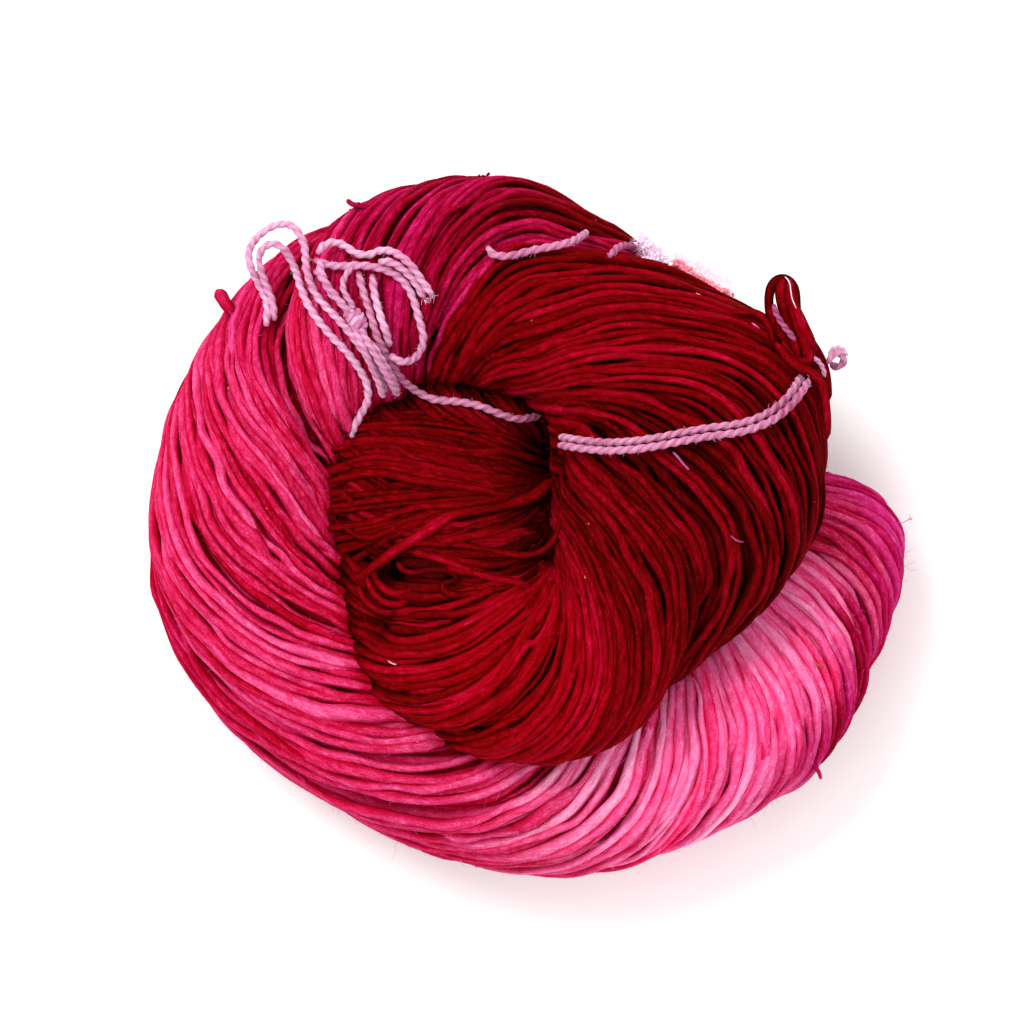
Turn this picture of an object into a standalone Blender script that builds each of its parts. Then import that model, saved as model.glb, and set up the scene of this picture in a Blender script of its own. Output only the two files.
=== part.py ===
"""A hank of hand-dyed yarn: a long loop of thick-and-thin yarn twisted into a two-ply rope and coiled like a
snail, with its string tie, two threads over the coil and a tie of its own yarn. Metres, +Z up."""

import bmesh
import bpy
import numpy as np
from mathutils import Vector
from mathutils.bvhtree import BVHTree

MM = 0.001

# The rope, seen from above: it starts with its outer end at the right, goes round clockwise and inwards, climbs
# over its own start and ends tucked in under the top of the coil. A row is one section of the rope.
#   outer, inner: the two ends of the section's long axis, x, y, z in mm
#   crown, belly: how far the section rises above that axis and hangs below it, in mm
#   valley: depth of the groove between the two plies, in mm
#   turn: how far the twist has turned by then, in degrees
ROPE_COLUMNS = (
    "outer_x", "outer_y", "outer_z", "inner_x", "inner_y", "inner_z", "crown", "belly", "valley", "turn",
)
ROPE_ROWS = (
    (72.8, 38.5, 18, 37.0, 9.0, 18, 17.0, 18.0, 1.5, 0),
    (89.0, 12.0, 19, 43.5, -3.5, 19, 18.5, 19.5, 1.5, 62),
    (94.8, -12.3, 20, 45.0, -10.5, 20, 20.0, 21.0, 1.5, 114),
    (81.5, -49.0, 22, 39.8, -24.0, 22, 22.5, 23.5, 1.0, 215),
    (65.3, -68.5, 23, 32.8, -31.0, 23, 24.0, 24.5, 1.0, 279),
    (27.8, -86.3, 23, 17.0, -38.0, 23, 24.0, 24.5, 1.0, 370),
    (-9.8, -85.0, 23, -1.0, -37.5, 23, 24.0, 24.5, 1.0, 426),
    (-47.3, -68.8, 23, -18.5, -28.5, 23, 24.0, 24.5, 1.0, 470),
    (-78.0, -43.5, 23, -35.5, -16.0, 23, 24.0, 24.5, 1.5, 503),
    (-93.5, -11.0, 23, -43.0, -2.3, 23, 24.5, 24.5, 2.5, 534),
    (-91.5, 21.5, 23, -42.5, 12.8, 23, 24.5, 24.5, 3.5, 572),
    (-78.0, 49.5, 23, -38.5, 23.5, 23, 24.0, 24.5, 4.0, 637),
    (-56.0, 72.8, 23, -29.8, 31.0, 23, 24.0, 24.5, 4.0, 720),
    (-30.5, 84.8, 23, -21.0, 34.5, 25, 24.0, 26.0, 4.0, 810),
    (-3.5, 87.3, 24, -10.5, 34.5, 28, 24.0, 28.0, 5.0, 840),
    (18.5, 75.5, 26, 0.0, 32.0, 31, 24.0, 29.0, 5.0, 882),
    (44.0, 62.0, 31, 5.5, 28.0, 33, 22.5, 28.0, 4.0, 912),
    (69.0, 44.0, 42, 7.0, 23.0, 36, 21.0, 31.0, 4.0, 937),
    (77.0, 19.0, 52, 7.2, 15.5, 39, 20.0, 34.0, 3.5, 964),
    (72.8, -8.5, 54, 7.4, 7.0, 40, 20.0, 36.0, 4.0, 997),
    (49.0, -34.8, 54, 7.1, -2.0, 40, 20.5, 36.0, 4.5, 1050),
    (19.0, -55.0, 52, 8.1, -9.5, 38, 21.0, 36.0, 3.0, 1130),
    (-11.0, -52.5, 46, 7.9, -9.5, 34, 21.5, 33.0, 3.0, 1217),
    (-34.8, -37.3, 36, 8.9, -3.0, 30, 22.0, 30.0, 3.0, 1307),
    (-47.5, -8.5, 28, 8.9, 4.5, 26, 22.5, 27.0, 3.0, 1400),
    (-49.5, 19.5, 23, 8.6, 13.0, 23, 21.0, 24.0, 3.0, 1492),
    (-39.5, 40.0, 19, 9.6, 22.0, 19, 18.0, 20.0, 3.0, 1582),
    (-14.0, 54.0, 15, 11.0, 33.0, 15, 14.0, 16.0, 2.0, 1660),
)
ROPE_MIDDLE = (0.3, -0.3)  # of the rows above, in mm: it goes to the origin

READS = 60  # between two rows of a table, where a smooth curve through them is measured
SECTIONS = 122  # spaced evenly along a strand of the twist
SIDES = 40
BUNDLES = 10  # ridges of the twist, with SIDES / BUNDLES points across each
RIDGE = 1.3  # height of a ridge over the groove beside it, in mm
VALLEY_WIDTH = 0.30  # of the groove between the plies, in radians
SMOOTH_INSIDE = 0.3  # share of the width, at the inner edge, over which groove and ridges fade out
FULLNESS = 0.88  # power of the sine and cosine of a section, 1 for an ellipse
STRAND_RADIUS = 22.0  # mm, at which a strand's length is measured
END_ROUNDING = (34.0, 24.0)  # length of the rounded outer and inner ends, in mm
LEAST_END = 0.2  # of the full section, where an end closes
WELD = 0.001  # mm, within which the cut's points are one

STRING = 1.0  # radius of the cotton string, in mm
YARN = 1.35  # radius of the hank's own yarn where it is tied, in mm
STRING_STEP = 4.6  # between the points of a string, in mm
STRING_REST = 0.55  # gap between a string and what it lies on, in mm
STRING_SPAN = 3.0  # how far ahead a string starts to rise over a ridge, in mm
STRING_READ = 0.5  # between the places where its height is worked out, in mm
STRING_PROBES = 7  # across a string, where the height of the hank under it is read
HIGH_UP = 200.0  # over the hank, from where its height is read, in mm

# Routes of the strings, seen from above: x, y and the least height of the string's middle, in mm. A string lies
# on whatever is under it, so only a stretch that stands clear of the hank needs a height.
LEFT_LOOP_OUTER = (
    (-64.5, 50.0, 0), (-64.3, 55.8, 0), (-66.5, 60.8, 36), (-68.5, 65.3, 36), (-68.8, 69.0, 37), (-66.8, 72.3, 38),
    (-64.0, 74.5, 38), (-61.0, 75.5, 38), (-58.0, 75.0, 38), (-55.8, 72.3, 40), (-54.8, 69.0, 0), (-54.6, 65.5, 0),
    (-53.8, 62.0, 0), (-52.3, 58.3, 0), (-49.7, 55.0, 0), (-46.7, 51.9, 0), (-43.7, 48.4, 0), (-40.9, 44.8, 0),
    (-38.2, 41.0, 0), (-35.9, 37.2, 0), (-34.7, 33.9, 0),
)
LEFT_LOOP_INNER = (
    (-66.4, 66.0, 40), (-65.6, 69.0, 42), (-63.0, 70.6, 42), (-60.2, 69.4, 42), (-58.2, 66.3, 0), (-56.9, 63.0, 0),
    (-55.6, 59.0, 0), (-53.8, 55.0, 0), (-51.1, 51.0, 0), (-47.9, 47.2, 0), (-44.4, 43.6, 0), (-41.4, 39.6, 0),
    (-39.3, 35.5, 0), (-39.2, 31.5, 0), (-41.0, 28.0, 0), (-42.8, 24.5, 0), (-43.6, 21.5, 0),
)
RIGHT_LOOP = (
    (-52.5, 66.6, 0), (-49.5, 65.3, 0), (-46.0, 64.8, 0), (-42.3, 65.0, 0), (-38.5, 64.8, 0), (-34.5, 63.8, 0),
    (-31.2, 61.9, 0), (-28.8, 59.0, 0), (-27.4, 55.5, 0), (-26.3, 51.3, 0), (-25.3, 47.5, 0), (-26.0, 43.8, 0),
    (-28.3, 41.5, 0), (-31.3, 41.2, 0), (-33.6, 42.9, 0),
)
UPPER_END = (
    (-51.6, 67.9, 0), (-50.0, 70.1, 0), (-47.3, 70.9, 0), (-44.6, 69.8, 0), (-42.0, 68.0, 0), (-38.9, 67.6, 0),
    (-36.5, 68.6, 0), (-33.6, 68.6, 0), (-30.4, 66.9, 0), (-27.7, 64.2, 0), (-25.5, 60.9, 0), (-23.0, 57.5, 0),
)
LOWER_END = ((-36.5, 65.9, 0), (-33.4, 65.8, 0), (-30.2, 63.9, 0), (-27.4, 60.9, 0), (-25.0, 56.8, 0))
MIDDLE_STRAND = ((-52.4, 63.9, 0), (-50.3, 61.8, 0), (-48.6, 58.7, 0), (-46.6, 56.4, 0))
LINK_THREAD = (
    (-41.5, 63.5, 0), (-40.3, 58.8, 0), (-38.7, 53.8, 0), (-37.2, 48.7, 0), (-35.4, 44.3, 0), (-31.8, 38.3, 0),
    (-29.0, 35.3, 0), (-23.3, 32.0, 0), (-16.8, 31.3, 0), (-11.5, 30.3, 0), (-6.5, 28.3, 0), (-2.3, 27.0, 0),
    (1.0, 27.3, 0), (3.5, 27.8, 0),
)
SIDE_STRAND = ((-38.0, 62.8, 0), (-37.5, 58.3, 0), (-36.1, 52.9, 0), (-34.4, 48.0, 0), (-33.6, 45.0, 0))
SHORT_TAIL = ((-38.4, 46.0, 0), (-36.3, 42.6, 0), (-34.3, 39.3, 0), (-32.6, 35.8, 0), (-32.0, 33.0, 0))
BAND_THREAD = (
    (8.5, 22.5, 0), (13.8, 21.6, 0), (20.0, 21.0, 0), (26.5, 21.3, 0), (32.8, 22.2, 0), (39.3, 23.5, 0),
    (45.5, 24.6, 0), (52.0, 25.4, 0), (57.0, 26.9, 0), (60.8, 28.8, 0), (64.0, 31.5, 0), (66.4, 34.4, 0),
    (68.3, 37.6, 0),
)
TOP_THREAD = (
    (-9.3, 69.8, 0), (-8.2, 67.8, 0), (-4.3, 67.3, 0), (1.0, 68.6, 0), (6.0, 69.6, 0), (9.8, 70.4, 0),
    (13.0, 71.8, 0), (15.5, 73.6, 0),
)
YARN_TIE_LOOP = (
    (72.8, 38.2, 0), (69.3, 41.8, 0), (65.4, 45.4, 0), (62.0, 49.6, 50), (60.2, 54.5, 53), (60.7, 59.0, 55),
    (63.2, 61.9, 56), (66.5, 61.4, 56), (68.2, 57.8, 55), (68.4, 53.0, 53), (70.0, 48.4, 50), (73.2, 44.2, 48),
    (75.5, 40.0, 48), (76.2, 35.5, 48), (76.4, 31.0, 48),
)
THREAD_PITCH = 2.4  # between the two strands of the band thread, in mm

# The knot of the string tie, seen from above: middle, half length, half width, half height and heading
KNOT_MIDDLE = (-42.0, 51.4)
KNOT_HALF = (4.6, 1.9, 2.3)
KNOT_HEADING = -58.0
KNOT_WRAPS = 3
KNOT_WRAP_DEPTH = 0.35  # of the groove between two wraps, in mm
KNOT_RINGS = 13
KNOT_SIDES = 12
KNOT_CLOSE = 0.97  # share of the half length at which its ends are closed
KNOT_CORE = 0.8  # share of the half length over which strings are kept off it

PINK = (0.58, 0.02, 0.10)
CRIMSON = (0.32, 0.003, 0.008)
LAVENDER = (0.72, 0.42, 0.60)


def clear_scene():
    for obj in list(bpy.data.objects):
        bpy.data.objects.remove(obj)


def finish_of(name, colour, roughness):
    material = bpy.data.materials.new(name)
    material.use_nodes = True
    shader = material.node_tree.nodes["Principled BSDF"]
    shader.inputs["Base Color"].default_value = (*colour, 1.0)
    shader.inputs["Roughness"].default_value = roughness
    shader.inputs["Metallic"].default_value = 0.0
    return material


def smooth_through(rows, at):
    """Rows at whole numbers, read at the numbers in at: a cubic between each two rows, whose slope at a row is
    half the difference of its neighbours."""
    rows = np.asarray(rows, float)
    slope = np.gradient(rows, axis=0)
    low = np.clip(np.floor(at).astype(int), 0, len(rows) - 2)
    t = (at - low)[:, None]
    square, cube = t * t, t * t * t
    return (
        rows[low] * (2 * cube - 3 * square + 1)
        + slope[low] * (cube - 2 * square + t)
        + rows[low + 1] * (3 * square - 2 * cube)
        + slope[low + 1] * (cube - square)
    )


def along(points):
    """The length of the way along points, up to each of them."""
    steps = np.linalg.norm(np.diff(points, axis=0), axis=1)
    return np.concatenate([[0.0], np.cumsum(steps)])


def rope_sections():
    """The rope's rows read at SECTIONS places an even length of strand apart, as a dictionary of columns in mm
    and radians, with the way along the rope's middle."""
    table = smooth_through(ROPE_ROWS, np.linspace(0, len(ROPE_ROWS) - 1, READS * len(ROPE_ROWS)))
    middle = (table[:, 0:3] + table[:, 3:6]) / 2
    way = along(middle)
    turned = np.radians(table[:, 9])
    strand = along(np.stack([way, STRAND_RADIUS * turned], axis=1))
    even = np.linspace(0, strand[-1], SECTIONS)
    columns = {name: np.interp(even, strand, table[:, i]) for i, name in enumerate(ROPE_COLUMNS)}
    columns["turn"] = np.radians(columns["turn"])
    columns["way"] = np.interp(even, strand, way)
    return columns


def end_size(way):
    """1 along the rope, falling as a quarter of an ellipse towards each end."""
    outer = np.clip(way / END_ROUNDING[0], 0, 1)
    inner = np.clip((way[-1] - way) / END_ROUNDING[1], 0, 1)
    size = np.sqrt(1 - (1 - outer) ** 2) * np.sqrt(1 - (1 - inner) ** 2)
    return LEAST_END + (1 - LEAST_END) * size


def full(share):
    """A sine or cosine made fuller, so that a section is between an ellipse and a box with round corners."""
    return np.sign(share) * np.abs(share) ** FULLNESS


def hank_grid():
    """Points of the rope's surface in mm, one row for each section: an ellipse about the section's long axis,
    with a groove between the two plies and a ridge for each bundle. The columns turn with the twist."""
    sections = rope_sections()
    outer = np.stack([sections["outer_x"], sections["outer_y"], sections["outer_z"]], axis=1)
    inner = np.stack([sections["inner_x"], sections["inner_y"], sections["inner_z"]], axis=1)
    middle, across = (outer + inner) / 2, (outer - inner) / 2
    from_valley = np.arange(SIDES) * 2 * np.pi / SIDES
    angle = from_valley[None, :] - sections["turn"][:, None]
    to_valley = np.minimum(from_valley % np.pi, np.pi - from_valley % np.pi)
    groove = sections["valley"][:, None] * np.exp(-((to_valley / VALLEY_WIDTH) ** 2))[None, :]
    ridge = RIDGE * (1 - np.sqrt(np.abs(np.sin(from_valley * BUNDLES / 2))))[None, :]
    relief = (groove + ridge) * np.clip((1 + np.cos(angle)) / SMOOTH_INSIDE, 0, 1)
    half_width = np.linalg.norm(across, axis=1)[:, None]
    share = (1 - relief / half_width) * end_size(sections["way"])[:, None]
    sideways, upwards = share * full(np.cos(angle)), share * full(np.sin(angle))
    height = np.where(upwards > 0, sections["crown"][:, None], sections["belly"][:, None])
    grid = middle[:, None, :] + sideways[:, :, None] * across[:, None, :]
    grid[:, :, 2] += upwards * height
    grid[:, :, :2] -= ROPE_MIDDLE
    return grid


def closed_tube(name, grid, material):
    """A mesh object over a grid of rings, closed with a fan at each end."""
    rings, sides = grid.shape[:2]
    ends = grid[[0, -1]].mean(axis=1)
    points = np.concatenate([grid.reshape(-1, 3), ends]) * MM
    faces = []
    for i in range(rings - 1):
        for j in range(sides):
            k = (j + 1) % sides
            faces.append((i * sides + j, i * sides + k, (i + 1) * sides + k, (i + 1) * sides + j))
    last = (rings - 1) * sides
    for j in range(sides):
        k = (j + 1) % sides
        faces.append((rings * sides, k, j))
        faces.append((rings * sides + 1, last + j, last + k))
    mesh = bpy.data.meshes.new(name)
    mesh.from_pydata(points.tolist(), [], faces)
    mesh.materials.append(material)
    obj = bpy.data.objects.new(name, mesh)
    bpy.context.collection.objects.link(obj)
    return obj


def floor_cutter():
    """A block below the floor, which cuts the hank flat where it rests."""
    side, depth = 0.4, 0.1
    bpy.ops.mesh.primitive_cube_add(size=1, location=(0, 0, -depth / 2))
    cutter = bpy.context.object
    cutter.name = "floor_cutter"
    cutter.scale = (side, side, depth)
    bpy.ops.object.transform_apply(location=True, rotation=False, scale=True)
    cutter.hide_render = True
    cutter.display_type = "WIRE"
    return cutter


def joined_points(start):
    """The points that edges join to start, itself included."""
    found, waiting = {start}, [start]
    while waiting:
        for edge in waiting.pop().link_edges:
            for point in edge.verts:
                if point not in found:
                    found.add(point)
                    waiting.append(point)
    return found


def drop_crumbs(obj):
    """Keeps the body of the most points, and drops the crumbs left where two turns of the rope just touch."""
    body = bmesh.new()
    body.from_mesh(obj.data)
    bmesh.ops.remove_doubles(body, verts=body.verts, dist=WELD * MM)
    left, bodies = set(body.verts), []
    while left:
        bodies.append(joined_points(next(iter(left))))
        left -= bodies[-1]
    largest = max(bodies, key=len)
    bmesh.ops.delete(body, geom=[point for point in body.verts if point not in largest], context="VERTS")
    body.to_mesh(obj.data)
    body.free()


def make_hank(material):
    hank = closed_tube("hank", hank_grid(), material)
    cut = hank.modifiers.new("flat_on_the_floor", "BOOLEAN")
    cut.operation = "DIFFERENCE"
    cut.solver = "EXACT"
    cut.use_self = True
    cut.object = floor_cutter()
    bpy.context.view_layer.objects.active = hank
    bpy.ops.object.modifier_apply(modifier=cut.name)
    drop_crumbs(hank)
    hank.data.shade_smooth()
    return hank


def surface_of(obj):
    graph = bpy.context.evaluated_depsgraph_get()
    return BVHTree.FromObject(obj, graph)


class Strings:
    """Lays strings over the hank and over each other, in the order in which they are made."""

    def __init__(self, hank):
        self.surface = surface_of(hank)
        self.laid = []

    def height_under(self, x, y):
        """Height of the hank at x, y in mm, or 0 beside it."""
        start = Vector((x, y, HIGH_UP)) * MM
        found = self.surface.ray_cast(start, Vector((0, 0, -1)))[0]
        return found.z / MM if found else 0.0

    def seat(self, ways, radius):
        """The least height of the string's middle at each point of ways, so that it clears what is under it."""
        reach = radius + STRING_REST
        heading = np.gradient(ways[:, :2], axis=0)
        heading /= np.linalg.norm(heading, axis=1, keepdims=True)
        beside = np.stack([-heading[:, 1], heading[:, 0]], axis=1)
        height = ways[:, 2].copy()
        for offset in np.linspace(-reach, reach, STRING_PROBES):
            spots = ways[:, :2] + beside * offset
            under = np.array([self.height_under(x, y) for x, y in spots])
            height = np.maximum(height, under + np.sqrt(reach**2 - offset**2))
        for other, other_radius in self.laid:
            both = reach + other_radius
            apart = np.linalg.norm(ways[:, None, :2] - other[None, :, :2], axis=2)
            lift = np.sqrt(np.maximum(both**2 - apart**2, 0))
            over = np.where(apart < both, other[None, :, 2] + lift, 0.0)
            height = np.maximum(height, over.max(axis=1))
        return height

    def lay(self, route, radius):
        """The string's middle in mm: a smooth curve through the route, dropped on what is under it, that bends
        gently over each ridge: the greatest height within STRING_SPAN, then the mean of that."""
        route = np.asarray(route, float)
        rough = smooth_through(route, np.linspace(0, len(route) - 1, READS * len(route)))
        way = along(rough[:, :2])
        even = np.linspace(0, way[-1], int(way[-1] / STRING_READ) + 2)
        curve = np.stack([np.interp(even, way, rough[:, i]) for i in range(3)], axis=1)
        curve[:, 2] = self.seat(curve, radius)
        window = int(STRING_SPAN / STRING_READ)
        padded = np.pad(curve[:, 2], 2 * window, mode="edge")
        spans = np.lib.stride_tricks.sliding_window_view
        highest = spans(padded, 2 * window + 1).max(axis=1)
        curve[:, 2] = spans(highest, 2 * window + 1).mean(axis=1)
        self.laid.append((curve, radius))
        return curve


def make_string(name, curve, radius, material):
    """A tube round the string's middle, on a poly line with a point every STRING_STEP."""
    way = along(curve)
    count = max(int(round(way[-1] / STRING_STEP)), 3) + 1
    even = np.linspace(0, way[-1], count)
    points = np.stack([np.interp(even, way, curve[:, i]) for i in range(3)], axis=1) * MM
    data = bpy.data.curves.new(name, "CURVE")
    data.dimensions = "3D"
    data.bevel_depth = radius * MM
    data.bevel_resolution = 2
    data.use_fill_caps = True
    data.resolution_u = 1
    line = data.splines.new("POLY")
    line.points.add(count - 1)
    for point, place in zip(line.points, points):
        point.co = (*place, 1.0)
    data.materials.append(material)
    obj = bpy.data.objects.new(name, data)
    bpy.context.collection.objects.link(obj)
    return obj


def beside(route, distance):
    """The route moved sideways by distance, to its right as it runs."""
    route = np.asarray(route, float)
    heading = np.gradient(route[:, :2], axis=0)
    heading /= np.linalg.norm(heading, axis=1, keepdims=True)
    moved = route.copy()
    moved[:, :2] += np.stack([heading[:, 1], -heading[:, 0]], axis=1) * distance
    return moved


def make_knot(strings, material):
    """An egg along the string with a groove for each wrap, seated on the hank."""
    long, wide, high = KNOT_HALF
    t = np.linspace(-KNOT_CLOSE, KNOT_CLOSE, KNOT_RINGS)[:, None]
    turn = np.arange(KNOT_SIDES)[None, :] * 2 * np.pi / KNOT_SIDES
    wrap = 1 - KNOT_WRAP_DEPTH / wide * (0.5 + 0.5 * np.cos(2 * np.pi * KNOT_WRAPS * t))
    size = np.sqrt(1 - t**2) * wrap
    heading = np.radians(KNOT_HEADING)
    forward = np.array([np.cos(heading), np.sin(heading)])
    left = np.array([-forward[1], forward[0]])
    flat = (
        np.asarray(KNOT_MIDDLE)
        + (t * long * np.ones_like(turn))[:, :, None] * forward
        + (size * wide * np.cos(turn))[:, :, None] * left
    )
    upwards = size * high * np.sin(turn)
    under = np.vectorize(strings.height_under)(flat[:, :, 0], flat[:, :, 1])
    seat = (under - upwards).max() + STRING_REST
    grid = np.concatenate([flat, (upwards + seat)[:, :, None]], axis=2)
    knot = closed_tube("tie_knot", grid, material)
    knot.data.shade_smooth()
    core = np.arange(-KNOT_CORE * long, KNOT_CORE * long, STRING_READ)
    middle = np.column_stack([np.asarray(KNOT_MIDDLE) + core[:, None] * forward, np.full(len(core), seat)])
    strings.laid.append((middle, wide))
    return knot


def build():
    clear_scene()
    dyed = finish_of("dyed_yarn", PINK, 0.8)
    red = finish_of("red_yarn", CRIMSON, 0.8)
    cotton = finish_of("cotton_string", LAVENDER, 0.85)
    hank = make_hank(dyed)
    strings = Strings(hank)
    make_knot(strings, cotton)
    routes = (
        ("link_thread", LINK_THREAD),
        ("side_strand", SIDE_STRAND),
        ("short_tail", SHORT_TAIL),
        ("middle_strand", MIDDLE_STRAND),
        ("left_loop_inner", LEFT_LOOP_INNER),
        ("left_loop_outer", LEFT_LOOP_OUTER),
        ("right_loop", RIGHT_LOOP),
        ("lower_end", LOWER_END),
        ("upper_end", UPPER_END),
        ("band_thread_upper", BAND_THREAD),
        ("band_thread_lower", beside(BAND_THREAD, THREAD_PITCH)),
        ("top_thread", TOP_THREAD),
    )
    for name, route in routes:
        make_string(name, strings.lay(route, STRING), STRING, cotton)
    make_string("yarn_tie_loop", strings.lay(YARN_TIE_LOOP, YARN), YARN, red)


build()
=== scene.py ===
"""A hank of hand-dyed thick-and-thin yarn, twisted into a two-ply rope and coiled like a snail, with its cotton
string tie, two threads over the coil and a tie of its own yarn. Metres, +Z up; tables are in millimetres."""

from functools import lru_cache

import bpy
import numpy as np
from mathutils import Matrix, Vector
from mathutils.bvhtree import BVHTree


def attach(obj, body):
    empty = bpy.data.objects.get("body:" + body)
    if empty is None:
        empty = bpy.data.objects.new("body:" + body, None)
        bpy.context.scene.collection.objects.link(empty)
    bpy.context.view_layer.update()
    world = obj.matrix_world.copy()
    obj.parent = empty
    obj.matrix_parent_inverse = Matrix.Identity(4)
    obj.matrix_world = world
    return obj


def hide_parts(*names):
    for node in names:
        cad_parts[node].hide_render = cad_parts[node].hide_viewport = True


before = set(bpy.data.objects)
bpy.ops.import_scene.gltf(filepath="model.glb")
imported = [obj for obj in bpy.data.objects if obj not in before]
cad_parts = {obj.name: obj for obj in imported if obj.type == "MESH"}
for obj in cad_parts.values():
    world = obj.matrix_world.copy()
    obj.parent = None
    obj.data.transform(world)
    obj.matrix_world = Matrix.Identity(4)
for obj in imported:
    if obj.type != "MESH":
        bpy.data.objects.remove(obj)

bl_info = {
    "name": "Coiled hank of dyed yarn",
    "version": (1, 0, 0),
    "blender": (4, 5, 0),
    "location": "3D View > Sidebar > Hank",
    "description": "Lays a twisted, coiled hank of dyed yarn with its ties round the packed model",
    "category": "Add Mesh",
}

MM = 0.001
TAU = 2 * np.pi
SEED = 4

# ---------------------------------------------------------------- the rope's form

# It is the solid's form, with rows drawn closer to the real hank. A row is one section of the rope, from its outer
# end at the right, clockwise and inwards.
#   outer, inner: the two ends of the section's long axis, x, y, z in mm
#   crown, belly: how far the section rises above that axis and hangs below it, in mm
#   valley: depth of the groove between the two plies, in mm
#   turn: how far the twist has turned by then, in degrees
ROPE_COLUMNS = (
    "outer_x", "outer_y", "outer_z", "inner_x", "inner_y", "inner_z", "crown", "belly", "valley", "turn",
)
ROPE_ROWS = (
    (66.0, 20.0, 18, 36.0, 5.0, 18, 17.0, 18.0, 1.5, 0),
    (90.2, 8.4, 19, 43.5, -5.0, 19, 18.5, 19.5, 1.5, 62),
    (94.8, -12.3, 20, 45.0, -10.5, 20, 20.0, 21.0, 1.5, 114),
    (81.5, -49.0, 22, 39.8, -24.0, 22, 22.5, 23.5, 1.0, 215),
    (64.4, -67.3, 23, 32.8, -31.0, 23, 24.0, 24.5, 1.0, 279),
    (27.3, -84.9, 23, 17.0, -38.0, 23, 24.0, 24.5, 1.0, 370),
    (-10.0, -85.7, 23, -1.0, -37.5, 23, 24.0, 24.5, 1.0, 426),
    (-47.9, -69.8, 23, -18.5, -28.5, 23, 24.0, 24.5, 1.0, 470),
    (-79.1, -44.3, 23, -35.5, -16.0, 23, 24.0, 24.5, 1.5, 503),
    (-94.9, -11.1, 23, -43.0, -2.3, 23, 24.5, 24.5, 2.5, 534),
    (-91.0, 21.3, 23, -42.5, 12.8, 23, 24.5, 24.5, 3.5, 572),
    (-78.0, 49.5, 23, -38.5, 23.5, 23, 24.0, 24.5, 4.0, 637),
    (-56.0, 72.8, 23, -29.8, 31.0, 23, 24.0, 24.5, 4.0, 700),
    (-30.5, 84.8, 23, -21.0, 34.5, 25, 24.0, 26.0, 4.0, 773),
    (-3.5, 87.3, 24, -10.5, 34.5, 28, 24.0, 28.0, 5.0, 834),
    (19.6, 77.3, 26, 0.0, 32.0, 31, 24.0, 29.0, 5.0, 866),
    (44.4, 62.8, 31, 5.5, 28.0, 33, 22.5, 28.0, 4.0, 902),
    (69.0, 44.0, 42, 7.0, 23.0, 36, 21.0, 31.0, 4.0, 937),
    (74.9, 18.7, 52, 7.2, 15.5, 39, 20.0, 34.0, 3.5, 964),
    (69.9, -6.8, 54, 7.4, 7.0, 40, 20.0, 36.0, 4.0, 997),
    (46.8, -31.8, 54, 7.1, -2.0, 40, 20.5, 36.0, 4.5, 1050),
    (19.0, -55.8, 52, 8.1, -9.5, 38, 21.0, 36.0, 3.0, 1130),
    (-12.3, -56.8, 49, 7.9, -9.5, 34, 21.5, 33.0, 3.0, 1217),
    (-38.2, -40.6, 40.5, 8.9, -3.0, 30, 22.0, 30.0, 3.0, 1307),
    (-49.4, -9.3, 28.5, 8.9, 4.5, 26, 22.5, 27.0, 3.0, 1400),
    (-50.8, 19.9, 24, 9.4, 13.0, 23, 21.0, 24.0, 3.0, 1492),
    (-39.5, 40.0, 19, 9.6, 22.0, 19, 18.0, 20.0, 3.0, 1582),
    (-14.0, 54.0, 15, 11.0, 33.0, 15, 14.0, 16.0, 2.0, 1660),
)
ROPE_MIDDLE = (0.3, -0.3)  # x, y in mm that comes to the origin
BUNDLES = 10  # ridges round the rope
RIDGE = 1.3  # mm from a ridge to the furrow beside it
VALLEY_WIDTH = 0.30  # radians from the groove's bottom in which it rises to a third of its depth
SMOOTH_INSIDE = 0.3  # of the section's width: how far in from its inner side the relief begins
FULLNESS = 0.88  # 1 for an ellipse, less for a fuller section
STRAND_RADIUS = 22.0  # mm from the rope's middle at which a strand's length is measured
END_ROUNDING = (34.0, 24.0)  # mm over which the outer and the inner end are rounded
LEAST_END = 0.2  # of the full section: the size of the last one
READS = 60  # places at which each row of a table is read to begin with

SECTIONS = 446  # places along the rope at which the yarn is laid, STRAND_STEP apart
COLUMNS = 180  # places round the rope at which its surface is worked out
LEAN_OUT = 0.3  # share of the way out from the middle that is added to a normal, so that none turns back
NORMAL_ROUNDS = 3  # in which each normal is evened out with its neighbours


def smooth_through(rows, at):
    """Rows at whole numbers, read at the numbers in at: a cubic between each two rows, whose slope at a row is
    half the difference of its neighbours."""
    rows = np.asarray(rows, float)
    slope = np.gradient(rows, axis=0)
    low = np.clip(np.floor(at).astype(int), 0, len(rows) - 2)
    t = (at - low)[:, None]
    square, cube = t * t, t * t * t
    return (
        rows[low] * (2 * cube - 3 * square + 1)
        + slope[low] * (cube - 2 * square + t)
        + rows[low + 1] * (3 * square - 2 * cube)
        + slope[low + 1] * (cube - square)
    )


def along(points):
    """The length of the way along points, up to each of them."""
    steps = np.linalg.norm(np.diff(points, axis=0), axis=1)
    return np.concatenate([[0.0], np.cumsum(steps)])


def smoothstep(low, high, x):
    """0 at low and 1 at high, and three squares less two cubes of the share of the way between them."""
    t = np.clip((x - low) / (high - low), 0, 1)
    return t * t * (3 - 2 * t)


def unit(vectors):
    """The vectors divided by their lengths."""
    return vectors / np.maximum(np.linalg.norm(vectors, axis=-1, keepdims=True), 1e-9)


def full(share):
    """A sine or cosine made fuller, so that a section is between an ellipse and a box with round corners."""
    return np.sign(share) * np.abs(share) ** FULLNESS


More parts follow.
